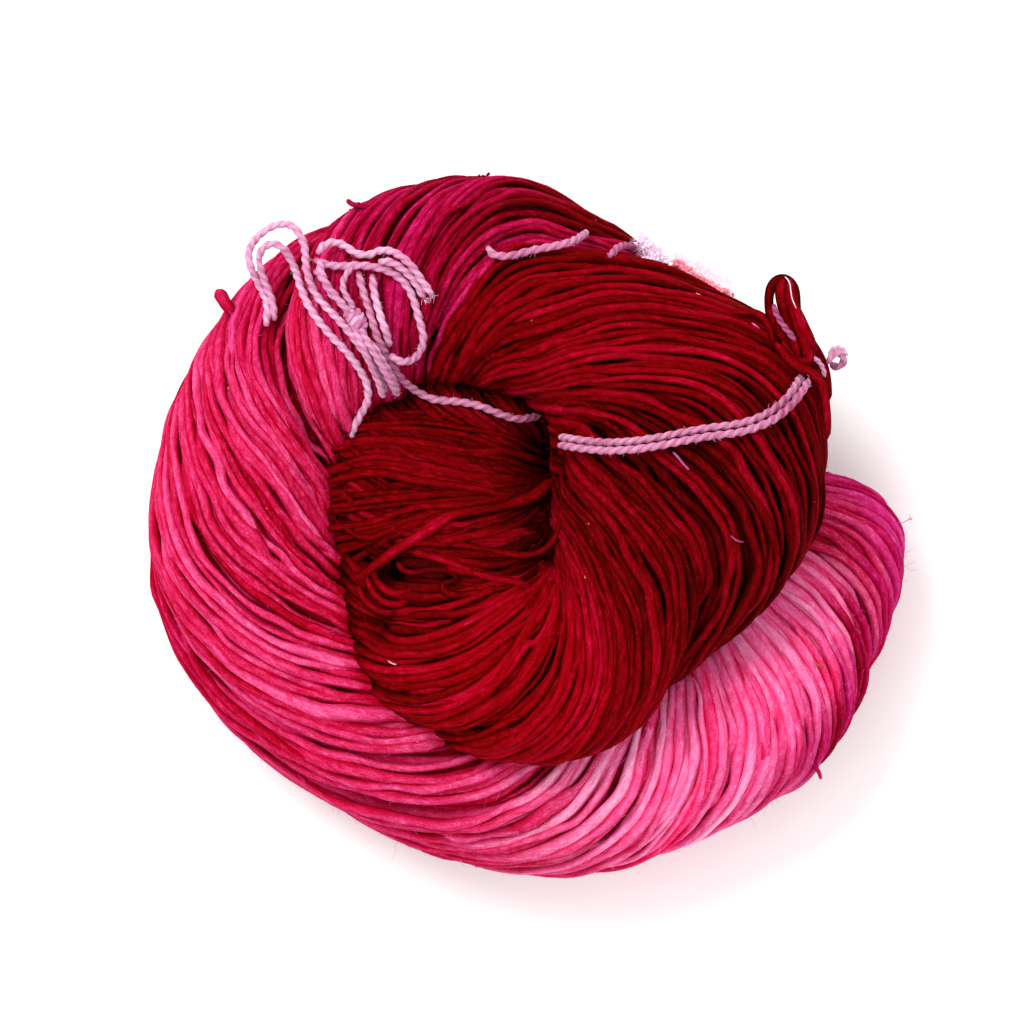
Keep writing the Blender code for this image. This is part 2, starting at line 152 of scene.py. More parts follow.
class Rope:
    """The rope's surface as a grid in mm: rows are sections an even length of strand apart, columns go round and
    turn with the twist. A section is a full ellipse about its long axis, with a groove between the two plies and
    a ridge for each bundle. Beside the points it has, for each place, the normal, how many mm across the strands
    one radian is, and the distance to the section's middle."""

    def __init__(self):
        at = np.linspace(0, len(ROPE_ROWS) - 1, READS * len(ROPE_ROWS))
        table = smooth_through(ROPE_ROWS, at)
        way = along((table[:, 0:3] + table[:, 3:6]) / 2)
        strand = along(np.stack([way, STRAND_RADIUS * np.radians(table[:, 9])], axis=1))
        even = np.linspace(0, strand[-1], SECTIONS)
        read = {name: np.interp(even, strand, table[:, i]) for i, name in enumerate(ROPE_COLUMNS)}
        self.row = np.interp(even, strand, at)
        self.way = np.interp(even, strand, way)
        self.turn = np.radians(read["turn"])
        outer = np.stack([read["outer_x"], read["outer_y"], read["outer_z"]], axis=1)
        inner = np.stack([read["inner_x"], read["inner_y"], read["inner_z"]], axis=1)
        self.middle, across = (outer + inner) / 2, (outer - inner) / 2
        from_valley = np.arange(COLUMNS) * TAU / COLUMNS
        angle = from_valley[None, :] - self.turn[:, None]
        to_valley = np.minimum(from_valley % np.pi, np.pi - from_valley % np.pi)
        groove = read["valley"][:, None] * np.exp(-((to_valley / VALLEY_WIDTH) ** 2))[None, :]
        ridge = RIDGE * (1 - np.sqrt(np.abs(np.sin(from_valley * BUNDLES / 2))))[None, :]
        relief = (groove + ridge) * np.clip((1 + np.cos(angle)) / SMOOTH_INSIDE, 0, 1)
        half_width = np.linalg.norm(across, axis=1)[:, None]
        share = (1 - relief / half_width) * self.end_size()[:, None]
        sideways, upwards = share * full(np.cos(angle)), share * full(np.sin(angle))
        height = np.where(upwards > 0, read["crown"][:, None], read["belly"][:, None])
        self.points = self.middle[:, None, :] + sideways[:, :, None] * across[:, None, :]
        self.points[:, :, 2] += upwards * height
        self.points[:, :, :2] -= ROPE_MIDDLE
        self.middle[:, :2] -= ROPE_MIDDLE
        self.measure()

    def end_size(self):
        """1 along the rope, falling as a quarter of an ellipse towards each end."""
        outer = np.clip(self.way / END_ROUNDING[0], 0, 1)
        inner = np.clip((self.way[-1] - self.way) / END_ROUNDING[1], 0, 1)
        size = np.sqrt(1 - (1 - outer) ** 2) * np.sqrt(1 - (1 - inner) ** 2)
        return LEAST_END + (1 - LEAST_END) * size

    def measure(self):
        """Normals from the two slopes of the surface, and the length across the strands of one radian."""
        lengthways = np.gradient(self.points, axis=0)
        round_it = (np.roll(self.points, -1, axis=1) - np.roll(self.points, 1, axis=1)) * COLUMNS / (2 * TAU)
        normal = np.cross(round_it, lengthways)
        outwards = self.points - self.middle[:, None, :]
        normal *= np.sign(np.sum(normal * outwards, axis=-1, keepdims=True))
        normal = unit(normal) + unit(outwards) * LEAN_OUT
        for _ in range(NORMAL_ROUNDS):
            normal = unit(normal + np.roll(normal, 1, axis=1) + np.roll(normal, -1, axis=1))
        self.normal = normal
        heading = unit(lengthways)
        crosswise = round_it - heading * np.sum(round_it * heading, axis=-1, keepdims=True)
        self.across = np.linalg.norm(crosswise, axis=-1)
        self.reach = np.linalg.norm(outwards, axis=-1)

    def read(self, grid, angle):
        """A grid of the rope read at an angle for each section and strand, evenly between two columns."""
        at = angle / TAU * COLUMNS
        low = np.floor(at).astype(int)
        share = at - low
        rows = np.arange(len(angle))[:, None]
        first, second = grid[rows, low % COLUMNS], grid[rows, (low + 1) % COLUMNS]
        if grid.ndim == 3:
            share = share[:, :, None]
        return first * (1 - share) + second * share


@lru_cache(maxsize=1)
def rope():
    """The one rope, worked out once."""
    return Rope()


NOOK_ROWS = 3.0  # least number of rows between two places that lie in different turns
NOOK_REACH, NOOK_TOUCH = 4.5, 0.5  # mm from another turn at which the painted shade of the nook begins, and where it is darkest
NOOK_FROM = (2.0, 9.0)  # rows over which the nooks' painted shade grows: the coil lies loose on its outer end
NOOK_EVERY = 3  # of the rope's places: each third is enough here


def nooks(spots):
    """How deep in the nook between two turns of the rope each of spots lies, from 0 to 1 where they touch, which sets
    the painted shade there. spots are sections by places by x, y, z."""
    form = rope()
    others = form.points[::NOOK_EVERY, ::NOOK_EVERY].astype(np.float32)
    other_rows = form.row[::NOOK_EVERY]
    found = np.zeros(spots.shape[:2], np.float32)
    for section in range(len(spots)):
        far = others[np.abs(other_rows - form.row[section]) > NOOK_ROWS].reshape(-1, 3)
        gaps = spots[section].astype(np.float32)[:, None, :] - far[None, :, :]
        nearest = np.sqrt((gaps**2).sum(axis=-1).min(axis=1))
        shade = smoothstep(NOOK_REACH, NOOK_TOUCH, nearest)
        found[section] = shade * smoothstep(*NOOK_FROM, form.row[section])
    return found


# ---------------------------------------------------------------- laying the strands side by side

STRAND_STEP = 2.0  # mm of strand between two sections
OUTER_STRANDS, OUTER_ASTRAY = 78, 0.25  # strands of the first layer, and how far each starts astray, of their spacing
UNDER_STRANDS, UNDER_ASTRAY = 64, 0.3  # the same of the layer under it
LAYING_ROUNDS = 110  # in which the strands push each other apart
LAST_ROUNDS = 6  # in which they are only evened out
NEIGHBOURS = 6  # strands on each side that one strand can touch
TOUCH = 0.88  # of the two radii: how near two strands of soft yarn come
# Waves of the strands: the mm from one bend to the next, and how far they go
THICK_WAVE, THIN_WAVE, MOST_THICK = (30.0, 0.22), (7.0, 0.13), 0.6  # in the logarithm of the radius, and its limit
DRIFTS, DRIFT_WAVE, DRIFT = 24, (90.0, 1.0), 0.040  # neighbours together, at DRIFTS places round the rope; radians
ALONE_WAVE = (70.0, 0.026)  # each strand by itself, in radians
STRAY_WAVE, STRAYS = (110.0, 2.8), 0.16  # of DRIFT, and the share of the strands that stray so far
RISE_WAVE = (40.0, 0.40)  # up and down, in mm
SIDE_WIGGLE, RISE_WIGGLE = (7.0, 0.36), (9.0, 0.26)  # small bends, sideways and up, in mm
NARROW, SWELL = 0.92, 1.3  # least and most by which a strand thickens where the rope is narrow or wide
CLOSE = 1.8  # yarn radii from one strand to the next at which it doesn't thicken
UNDER_STOUT = 1.12  # how much thicker the second layer's strands are
UNDER_DEPTH = (2.6, 1.7)  # mm by which the second layer of strands lies deeper than the first, at UNDER_ROWS
UNDER_ROWS = (6.5, 9.0)
STOUT = 0.14  # by which the strands are thicker before the first of UNDER_ROWS
VALLEY_SINK, VALLEY_REACH = 1.8, 0.12  # mm by which strands near the plies' groove lie deeper, and radians from it
SEAT = 0.95  # yarn radii that a strand's middle lies under the surface
PRESSED_WIDTH = 2.2  # mm of surface for each strand, below which they are pressed into layers
PRESSED_LEAST, PRESSED_MOST, PRESSED_DEPTH = 0.4, 4.0, 2.2  # mm, layers and mm for each layer
PUSH, PULL, DRAW = 0.22, 0.06, 0.035  # a round's shares: of an overlap, of the way home and of the way to the seat
MOST_SHIFT = 0.4  # mm in a round
LEAST_ACROSS = (0.5, 3.0)  # mm of surface for a radian: the least that the laying and the small bends reckon with
DEEPEST = 0.8  # of the way from the surface to the rope's middle
FLOOR_GAP = 0.02  # mm from the floor to what lies on it
CORE_DEPTH, CORE_SHARE = 4.6, 0.7  # mm from the rope's surface to the wool under the strands, at most that share
CORE_EVERY, CORE_COLUMNS, CORE_FLOOR = 3, 4, 1.5  # it has each third section and fourth column, and mm to the floor


def waves(random, count, wave, length=SECTIONS, step=STRAND_STEP):
    """Smooth random curves, one for each of count strands: random numbers at every bend, with the even slope of a
    cosine between two of them. wave is the mm between two bends and how far they go; a strand has length places,
    step mm apart."""
    spacing, size = wave
    knots = max(int(length * step / spacing) + 3, 4)
    values = random.normal(size=(knots, count))
    at = np.arange(length)[:, None] * step / spacing + random.random(count)[None, :]
    low = np.floor(at).astype(int)
    t = (1 - np.cos((at - low) * np.pi)) / 2
    cols = np.arange(count)[None, :]
    return (values[low, cols] * (1 - t) + values[low + 1, cols] * t) * size


def spread_ranks(count):
    """Numbers from 0 to 1 for count strands in a row, such that those under any limit lie evenly spaced: the
    binary digits of each strand's number in reverse."""
    numbers, ranks, share = np.arange(count), np.zeros(count), 0.5
    while numbers.any():
        ranks += share * (numbers % 2)
        numbers = numbers // 2
        share /= 2
    return ranks


# Where the strands gape and the wool between them lies in shadow: x, y, width and depth in mm
PITS = (
    (-33.5, -10.6, 3.4, 5.0),
    (-36.6, -24.2, 3.2, 5.0),
    (-43.4, -4.6, 2.4, 4.0),
    (-16.8, -12.4, 2.0, 3.0),
    (5.0, 18.0, 6.0, 4.0),
)


class Laid:
    """The strands of the rope: for each section and strand its angle round the rope, its depth under the rope's
    surface and its radius, in radians and mm."""

    def __init__(self, yarn_radius):
        form = rope()
        random = np.random.default_rng(SEED)
        start = np.concatenate([
            (np.arange(strands) + random.uniform(-astray, astray, strands)) * TAU / strands
            for strands, astray in ((OUTER_STRANDS, OUTER_ASTRAY), (UNDER_STRANDS, UNDER_ASTRAY))
        ])
        layer = np.concatenate([np.zeros(OUTER_STRANDS), np.ones(UNDER_STRANDS)])
        rank = np.concatenate([spread_ranks(OUTER_STRANDS), spread_ranks(UNDER_STRANDS)])
        order = np.argsort(start)
        self.start, self.layer, self.rank = start[order], layer[order], rank[order]
        count = len(order)
        thick = waves(random, count, THICK_WAVE)
        thick += waves(random, count, THIN_WAVE)
        self.home = self.start[None, :] + self.wander(random, count)
        crowd = TAU * form.read(form.across, self.home) / OUTER_STRANDS
        swell = np.clip(crowd / (CLOSE * yarn_radius), NARROW, SWELL)
        swell = swell * np.where(self.layer == 0, 1.0, UNDER_STOUT)
        stout = 1 + STOUT * smoothstep(UNDER_ROWS[1], UNDER_ROWS[0], form.row)[:, None]
        self.radius = yarn_radius * stout * swell * np.exp(np.clip(thick, -MOST_THICK, MOST_THICK))
        self.angle = self.home.copy()
        self.settle(form, random, count)
        across = np.maximum(form.read(form.across, self.angle), LEAST_ACROSS[1])
        self.angle += waves(random, count, SIDE_WIGGLE) / across
        self.depth += waves(random, count, RISE_WIGGLE)
        spots = form.read(form.points, self.angle)
        upper = form.read(form.normal, self.angle)[..., 2] > 0
        for x, y, width, pit in PITS:
            square = (spots[..., 0] - x) ** 2 + (spots[..., 1] - y) ** 2
            self.depth += np.where(upper, pit * np.exp(-square / width**2), 0)
        self.nook = nooks(spots)

    def wander(self, random, count):
        """How far each strand strays sideways, in radians: neighbours drift together, and each a little alone."""
        drift = waves(random, DRIFTS, DRIFT_WAVE)
        at = self.start / TAU * DRIFTS
        low = np.floor(at).astype(int)
        share = (1 - np.cos((at - low) * np.pi)) / 2
        together = drift[:, low % DRIFTS] * (1 - share) + drift[:, (low + 1) % DRIFTS] * share
        alone = waves(random, count, ALONE_WAVE)
        crossing = random.random(count) < STRAYS
        return DRIFT * together + alone + DRIFT * (waves(random, count, STRAY_WAVE) * crossing)

    def settle(self, form, random, count):
        """Strands that would lie in each other push each other apart along the surface and into the rope, again
        and again, while the twist draws each towards its own line and the surface."""
        rise = waves(random, count, RISE_WAVE)
        beyond = self.home % np.pi
        to_valley = np.minimum(beyond, np.pi - beyond)
        sunk = VALLEY_SINK * np.exp(-((to_valley / VALLEY_REACH) ** 2))
        under = np.interp(form.row, UNDER_ROWS, UNDER_DEPTH)[:, None]
        seat = self.radius * SEAT + self.layer[None, :] * under + rise + sunk
        crowd = TAU * form.read(form.across, self.home) / OUTER_STRANDS
        pressed = np.clip(PRESSED_WIDTH / np.maximum(crowd, PRESSED_LEAST) - 1, 0, PRESSED_MOST)
        depth = seat + self.rank[None, :] * pressed * PRESSED_DEPTH
        most = DEEPEST * form.read(form.reach, self.home)
        for _ in range(LAYING_ROUNDS):
            across = form.read(form.across, self.angle)
            shift, sink = np.zeros_like(depth), np.zeros_like(depth)
            for k in range(1, NEIGHBOURS + 1):
                other = np.roll(self.angle, -k, axis=1)
                other[:, -k:] += TAU
                apart = (other - self.angle) * across
                below = np.roll(depth, -k, axis=1) - depth
                distance = np.sqrt(apart**2 + below**2) + 1e-6
                need = TOUCH * (self.radius + np.roll(self.radius, -k, axis=1))
                push = PUSH * np.clip(need - distance, 0, None) / distance
                shift -= push * apart
                shift += np.roll(push * apart, k, axis=1)
                sink -= push * below
                sink += np.roll(push * below, k, axis=1)
            self.angle += np.clip(shift, -MOST_SHIFT, MOST_SHIFT) / np.maximum(across, LEAST_ACROSS[0])
            self.angle += PULL * (self.home - self.angle)
            depth += np.clip(sink, -MOST_SHIFT, MOST_SHIFT) + DRAW * (seat - depth)
            depth = np.clip(depth, self.radius * 0.5 - 0.2, most)
            self.angle = self.evened(self.angle)
            depth = self.evened(depth)
        for _ in range(LAST_ROUNDS):
            self.angle = self.evened(self.angle)
        self.depth = depth

    @staticmethod
    def evened(values):
        """Each value drawn towards the mean of those before and after it along its strand."""
        padded = np.pad(values, ((1, 1), (0, 0)), mode="edge")
        return 0.5 * values + 0.25 * (padded[:-2] + padded[2:])

    def path(self, chosen):
        """Middle line, outward direction, radius, depth, angle and nook of the chosen strands, strand by strand."""
        form = rope()
        angle, depth, radius = self.angle[:, chosen], self.depth[:, chosen], self.radius[:, chosen]
        nook = self.nook[:, chosen]
        outwards = unit(form.read(form.normal, angle))
        middle = form.read(form.points, angle) - outwards * depth[:, :, None]
        middle[:, :, 2] = np.maximum(middle[:, :, 2], radius + FLOOR_GAP)
        return tuple(np.swapaxes(values, 0, 1) for values in (middle, outwards, radius, depth, angle, nook))


@lru_cache(maxsize=1)
def laid(yarn_radius):
    """The one lay of strands, worked out once for its yarn."""
    return Laid(yarn_radius)


# ---------------------------------------------------------------- meshes from grids


def tube_mesh(name, rings, material, dye, lie, tuck):
    """A piece of closed tubes from rings, an array of tubes, rings, sides and x, y, z in mm: four-sided faces
    between the rings and one flat face at each end. Each point has its dye (a colour and the response to it), its
    place along and across the strand in mm (lie) and how far it is tucked between its neighbours, which sets its
    painted shade. The piece lies still on the hank."""
    tubes, length, sides = rings.shape[:3]
    base = np.arange(tubes)[:, None, None] * (length * sides)
    ring = np.arange(length - 1)[None, :, None] * sides
    here, there = np.arange(sides)[None, None, :], (np.arange(sides)[None, None, :] + 1) % sides
    quads = np.stack(
        [base + ring + here, base + ring + there, base + ring + sides + there, base + ring + sides + here], axis=-1
    ).reshape(-1, 4)
    first = (np.arange(tubes)[:, None] * length * sides) + np.arange(sides)[None, ::-1]
    last = (np.arange(tubes)[:, None] * length * sides) + (length - 1) * sides + np.arange(sides)[None, :]
    caps = np.concatenate([first, last])
    mesh = bpy.data.meshes.new(name)
    points = rings.reshape(-1, 3) * MM
    mesh.vertices.add(len(points))
    mesh.vertices.foreach_set("co", points.astype(np.float32).ravel())
    mesh.loops.add(quads.size + caps.size)
    mesh.loops.foreach_set("vertex_index", np.concatenate([quads.ravel(), caps.ravel()]).astype(np.int32))
    mesh.polygons.add(len(quads) + len(caps))
    starts = np.concatenate([np.arange(len(quads)) * 4, quads.size + np.arange(len(caps)) * sides])
    mesh.polygons.foreach_set("loop_start", starts.astype(np.int32))
    mesh.update(calc_edges=True)
    mesh.validate()
    mesh.shade_smooth()
    # tuck holds each point's painted shade: how far its dye is darkened where it turns down, lies deep or sits in a
    # nook
    for label, kind, key, values in (
        ("dye", "FLOAT_COLOR", "color", dye), ("lie", "FLOAT_VECTOR", "vector", lie), ("tuck", "FLOAT", "value", tuck),
    ):
        layer = mesh.attributes.new(label, kind, "POINT")
        layer.data.foreach_set(key, np.ascontiguousarray(values, np.float32).ravel())
    mesh.materials.append(material)
    piece = bpy.data.objects.new(name, mesh)
    bpy.context.scene.collection.objects.link(piece)
    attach(piece, "root")
    return piece


def rings_round(path, up, radius, sides, flat=1.0):
    """Rings of sides points round each path. path and up are tubes by places by x, y, z, and radius is tubes by
    places. A ring's first point is below the path, seen along up; flat squashes it along up."""
    heading = unit(np.gradient(path, axis=1))
    side = unit(np.cross(heading, up))
    upright = np.cross(side, heading)
    turn = np.arange(sides) * TAU / sides - np.pi / 2
    ring = (
        side[:, :, None, :] * np.cos(turn)[None, None, :, None]
        + upright[:, :, None, :] * np.sin(turn)[None, None, :, None] * flat
    )
    return path[:, :, None, :] + ring * radius[:, :, None, None], turn


# ---------------------------------------------------------------- dye

# Where the dye changes along the rope: the rope's row, the colour of the first ply and that of the second
DYES = (
    (0.0, "pink", "pink"),
    (1.6, "pink", "blush"),
    (3.1, "blush", "blush"),
    (4.8, "blush", "blush"),
    (6.0, "pink", "blush"),
    (7.2, "pink", "pink"),
    (8.2, "rose", "pink"),
    (9.4, "rose", "pink"),
    (10.4, "pink", "pink"),
    (11.4, "pink", "rose"),
    (11.9, "rose", "rose"),
    (12.4, "magenta", "crimson"),
    (13.3, "magenta", "crimson"),
    (14.7, "crimson", "crimson"),
    (16.8, "crimson", "crimson"),
    (18.0, "garnet", "garnet"),
    (20.0, "garnet", "garnet"),
    (21.2, "scarlet", "scarlet"),
    (22.6, "scarlet", "scarlet"),
    (23.6, "garnet", "garnet"),
    (27.0, "garnet", "garnet"),
)
PLUM_ROWS, PLUM_SIDE = (4.8, 3.4), (0.35, 0.92)  # rows and cosines from the outer side over which it turns plum
PLY_BLEND = 0.30  # of the sine of the angle from the valley: where the two plies' dyes run into each other
LATE_FROM, LATE_TO = 11.8, 15.8  # rows between which the strands beside the second valley keep their magenta
LATE_ROW = 12.15  # whose dye they keep
LATE_START, LATE_WIDTH = -0.22, 0.40  # of those strands, in radians from that valley
# How strongly each dye answers the painted highlight on a crest, the painted shade in a fold and its own changes in
# strength: a weak one does so more than a deep one
RESPONSE = {
    "crimson": 0.80, "garnet": 0.78, "scarlet": 0.80, "magenta": 0.85,
    "plum": 0.85, "rose": 0.88, "pink": 0.90, "blush": 0.85,
}
# How much one strand differs from the next in each dye
VARIETY = {
    "crimson": 0.9, "garnet": 0.9, "scarlet": 0.9, "magenta": 1.0,
    "plum": 1.1, "rose": 1.0, "pink": 1.1, "blush": 1.6,
}
LEAST_DYE = 0.3  # the least power to which a dye is raised


def dye_along(settings, row, angle, strength):
    """Colour and response for each place on a strand: its ply's dye, or a mixture near the groove between the
    plies, to the power of strength, since twice the dye takes the light twice over. Above 1 is deeper, below 1
    paler."""
    beyond = (angle - np.pi - LATE_START) % TAU
    late = (beyond < LATE_WIDTH) & (row > LATE_FROM) & (row < LATE_TO)
    first = np.where(late, 1.0, smoothstep(-PLY_BLEND, PLY_BLEND, np.sin(angle)))[..., None]
    row = np.where(late, np.minimum(row, LATE_ROW), row)
    rows = [entry[0] for entry in DYES]
    dyes = {name: (*getattr(settings, name), RESPONSE[name], VARIETY[name]) for name in RESPONSE}
    plies = []
    for ply in (1, 2):
        table = [dyes[entry[ply]] for entry in DYES]
        plies.append(np.stack([np.interp(row, rows, column) for column in np.transpose(table)], axis=-1))
    mixed = plies[0] * first + plies[1] * (1 - first)
    outside = np.cos(angle - np.interp(row, rope().row, rope().turn))
    plum = (smoothstep(*PLUM_SIDE, outside) * smoothstep(*PLUM_ROWS, row))[..., None]
    mixed = mixed * (1 - plum) + np.asarray(dyes["plum"]) * plum
    power = np.maximum(1 + (strength[..., None] - 1) * mixed[..., 4:], LEAST_DYE)
    return np.concatenate([mixed[..., :3] ** power, mixed[..., 3:4]], axis=-1)


# ---------------------------------------------------------------- materials


def node_group(name, inputs, outputs):
    """A new shader node group with its sockets, its input node and its output node."""
    group = bpy.data.node_groups.new(name, "ShaderNodeTree")
    for label, kind, default in inputs:
        socket = group.interface.new_socket(label, in_out="INPUT", socket_type=kind)
        if default is not None:
            socket.default_value = default
    for label, kind in outputs:
        group.interface.new_socket(label, in_out="OUTPUT", socket_type=kind)
    return group, group.nodes.new("NodeGroupInput"), group.nodes.new("NodeGroupOutput")


def math_node(tree, operation, first, second):
    """The result of a Math node in the tree, from two numbers or sockets."""
    node = tree.nodes.new("ShaderNodeMath")
    node.operation = operation
    for socket, value in zip(node.inputs, (first, second)):
        if isinstance(value, (int, float)):
            socket.default_value = value
        else:
            tree.links.new(value, socket)
    return node.outputs[0]


# The three noises of the fibres: how they are drawn out along the strand, and their scale for each mm
BROAD_FIBRES, FINE_FIBRES, BLOTCHES = ((0.35, 1.0, 1.0), 1.5), ((0.6, 1.0, 1.0), 4.5), ((0.55, 0.8, 0.8), 0.42)
LOW_SHADE, BLOTCH_DYE = 2.5, 0.8  # painted shade in the low places between the fibres, with a painted highlight on raised ones, and what the blotches do to the dye


@lru_cache(maxsize=1)
def fibre_group():
    """Fibres that run along a strand: noise drawn out along the first axis of the strand's own coordinates, in
    mm. It gives a height, and a change to the dye's strength: blotches of stronger and weaker dye, and painted shade
    in the low places between the fibres with a painted highlight on raised ones."""
    group, put_in, put_out = node_group(
        "yarn_fibres",
        (("Lie", "NodeSocketVector", None), ("Fineness", "NodeSocketFloat", 1.0)),
        (("Height", "NodeSocketFloat"), ("Dye", "NodeSocketFloat")),
    )
    nodes, links = group.nodes, group.links
    heights = []
    for stretch, scale in (BROAD_FIBRES, FINE_FIBRES, BLOTCHES):
        mapping = nodes.new("ShaderNodeMapping")
        mapping.inputs["Scale"].default_value = stretch
        links.new(put_in.outputs["Lie"], mapping.inputs["Vector"])
        noise = nodes.new("ShaderNodeTexNoise")
        noise.inputs["Detail"].default_value = 3.0
        noise.inputs["Roughness"].default_value = 0.6
        links.new(mapping.outputs[0], noise.inputs["Vector"])
        links.new(math_node(group, "MULTIPLY", put_in.outputs["Fineness"], scale), noise.inputs["Scale"])
        heights.append(noise.outputs["Fac"])
    broad = math_node(group, "MULTIPLY", heights[0], 0.5)
    fine = math_node(group, "MULTIPLY", heights[1], 0.5)
    height = math_node(group, "ADD", broad, fine)
    links.new(height, put_out.inputs["Height"])
    low = math_node(group, "MULTIPLY", math_node(group, "SUBTRACT", 0.5, height), LOW_SHADE)
    blotch = math_node(group, "MULTIPLY", math_node(group, "SUBTRACT", heights[2], 0.5), BLOTCH_DYE)
    links.new(math_node(group, "ADD", low, blotch), put_out.inputs["Dye"])
    return group


def attribute(nodes, name):
    """A node that reads one of the values that tube_mesh gives to each point."""
    node = nodes.new("ShaderNodeAttribute")
    node.attribute_name = name
    return node


CREST_PALER, TUCK_SHADE = 0.20, 0.9  # taken off the dye's strength everywhere, a painted highlight on crests that have no painted shade; and the weight of the painted shade on the flanks
LEAST_STRENGTH = 0.35
SHEEN_ROUGHNESS, SHEEN_TINT = 0.4, (1.0, 0.3, 0.5, 1.0)
LIGHT_REACH, LIGHT_TINT = 1.4, (1.0, 0.15, 0.3)  # mm that light goes through the wool, of each of its colours


@lru_cache(maxsize=None)
def yarn_material(name, roughness=0.85, sheen=0.0, specular=0.02, depth=0.7, fineness=1.0, through=0.0):
    """Dyed fibres: the strand's own dye, with a painted highlight on raised fibres and crests, and painted shade that
    makes the dye deeper and stronger where the strand turns down between its neighbours, with fine fibres in relief.
    depth is that of the relief in mm, and through the share of the light that goes into the fibres."""
    material = bpy.data.materials.new(name)
    material.use_nodes = True
    tree = material.node_tree
    nodes, links = tree.nodes, tree.links
    shader = nodes["Principled BSDF"]
    dye, tuck, lie = attribute(nodes, "dye"), attribute(nodes, "tuck"), attribute(nodes, "lie")
    fibres = nodes.new("ShaderNodeGroup")
    fibres.node_tree = fibre_group()
    fibres.inputs["Fineness"].default_value = fineness
    links.new(lie.outputs["Vector"], fibres.inputs["Lie"])

    # blotches deepen the dye; painted shade deepens it between fibres and, most of all, where the strand turns down
    # and is tucked in; a painted highlight pales the rest
    tucked = math_node(tree, "MULTIPLY", tuck.outputs["Fac"], TUCK_SHADE)
    strength = math_node(tree, "ADD", fibres.outputs["Dye"], tucked)
    strength = math_node(tree, "SUBTRACT", strength, CREST_PALER)
    strength = math_node(tree, "MULTIPLY", strength, dye.outputs["Alpha"])
    strength = math_node(tree, "MAXIMUM", math_node(tree, "ADD", strength, 1.0), LEAST_STRENGTH)
    dyed = nodes.new("ShaderNodeGamma")
    links.new(dye.outputs["Color"], dyed.inputs["Color"])
    links.new(strength, dyed.inputs["Gamma"])
    links.new(dyed.outputs["Color"], shader.inputs["Base Color"])

    bump = nodes.new("ShaderNodeBump")
    bump.inputs["Strength"].default_value = 1.0
    bump.inputs["Distance"].default_value = depth * MM
    links.new(fibres.outputs["Height"], bump.inputs["Height"])
    links.new(bump.outputs[0], shader.inputs["Normal"])
    shader.inputs["Roughness"].default_value = roughness
    shader.inputs["Specular IOR Level"].default_value = specular
    shader.inputs["Sheen Weight"].default_value = sheen
    shader.inputs["Sheen Roughness"].default_value = SHEEN_ROUGHNESS
    shader.inputs["Sheen Tint"].default_value = SHEEN_TINT
    shader.subsurface_method = "BURLEY"
    shader.inputs["Subsurface Weight"].default_value = through
    shader.inputs["Subsurface Radius"].default_value = LIGHT_TINT
    shader.inputs["Subsurface Scale"].default_value = LIGHT_REACH * MM
    return material


def wool_material():
    """The yarn: matt, with deep relief and some light in it."""
    return yarn_material("dyed_wool", through=0.55)


def fibre_material():
    """Single fibres, with next to no relief."""
    return yarn_material("loose_fibre", roughness=0.9, depth=0.03)


def cotton_material():
    """The string: finer, smoother fibres with a soft sheen."""
    return yarn_material("cotton", roughness=0.75, sheen=0.15, specular=0.1, depth=0.14, fineness=1.6)


def plain_material(name, colour, roughness):
    """One even colour."""
    material = bpy.data.materials.new(name)
    material.use_nodes = True
    shader = material.node_tree.nodes["Principled BSDF"]
    shader.inputs["Base Color"].default_value = (*colour, 1.0)
    shader.inputs["Roughness"].default_value = roughness
    shader.inputs["Specular IOR Level"].default_value = 0.1
    return material


# ---------------------------------------------------------------- strings

STRING, YARN = 1.0, 1.35  # radius in mm of the string, and of the yarn in the tie at the upper right
STRING_REST = 0.4  # mm from a string to what it lies on
STRING_READ = 0.5  # mm between two places at which a string's height is found
STRING_SPAN = 6  # of these places to each side, over which a string bends gently
STRING_PROBES = 7  # places across a string at which the hank under it is felt
HIGH_UP = 200.0  # mm: above everything
THREAD_PITCH = 2.05  # mm between the two threads over the red band

# Routes of the strings: x, y and the least height of the string's middle, in mm
LEFT_LOOP_OUTER = (
    (-64.5, 50.0, 0), (-64.3, 55.8, 0), (-66.5, 60.8, 36), (-68.5, 65.3, 36), (-68.8, 69.0, 37), (-66.8, 72.3, 38),
    (-64.0, 74.5, 38), (-61.0, 75.5, 38), (-58.0, 75.0, 38), (-55.8, 72.3, 40), (-54.8, 69.0, 0), (-54.6, 65.5, 0),
    (-53.8, 62.0, 0), (-52.3, 58.3, 0), (-49.7, 55.0, 0), (-46.7, 51.9, 0), (-43.7, 48.4, 0), (-40.9, 44.8, 0),
    (-38.2, 41.0, 0), (-35.9, 37.2, 0), (-34.7, 33.9, 0),
)
LEFT_LOOP_INNER = (
    (-66.4, 66.0, 40), (-65.6, 69.0, 42), (-63.0, 70.6, 42), (-60.2, 69.4, 42), (-58.2, 66.3, 0), (-56.9, 63.0, 0),
    (-55.6, 59.0, 0), (-53.8, 55.0, 0), (-51.1, 51.0, 0), (-47.9, 47.2, 0), (-44.4, 43.6, 0), (-41.4, 39.6, 0),
    (-39.3, 35.5, 0), (-39.2, 31.5, 0), (-41.0, 28.0, 0), (-42.8, 24.5, 0), (-43.6, 21.5, 0),
)
RIGHT_LOOP = (
    (-52.5, 66.6, 0), (-49.5, 65.3, 0), (-46.0, 64.8, 0), (-42.3, 65.0, 0), (-38.5, 64.8, 0), (-34.5, 63.8, 0),
    (-31.2, 61.9, 0), (-28.8, 59.0, 0), (-27.4, 55.5, 0), (-26.3, 51.3, 0), (-25.3, 47.5, 0), (-26.0, 43.8, 0),
    (-28.3, 41.5, 0), (-31.3, 41.2, 0), (-33.6, 42.9, 0),
)
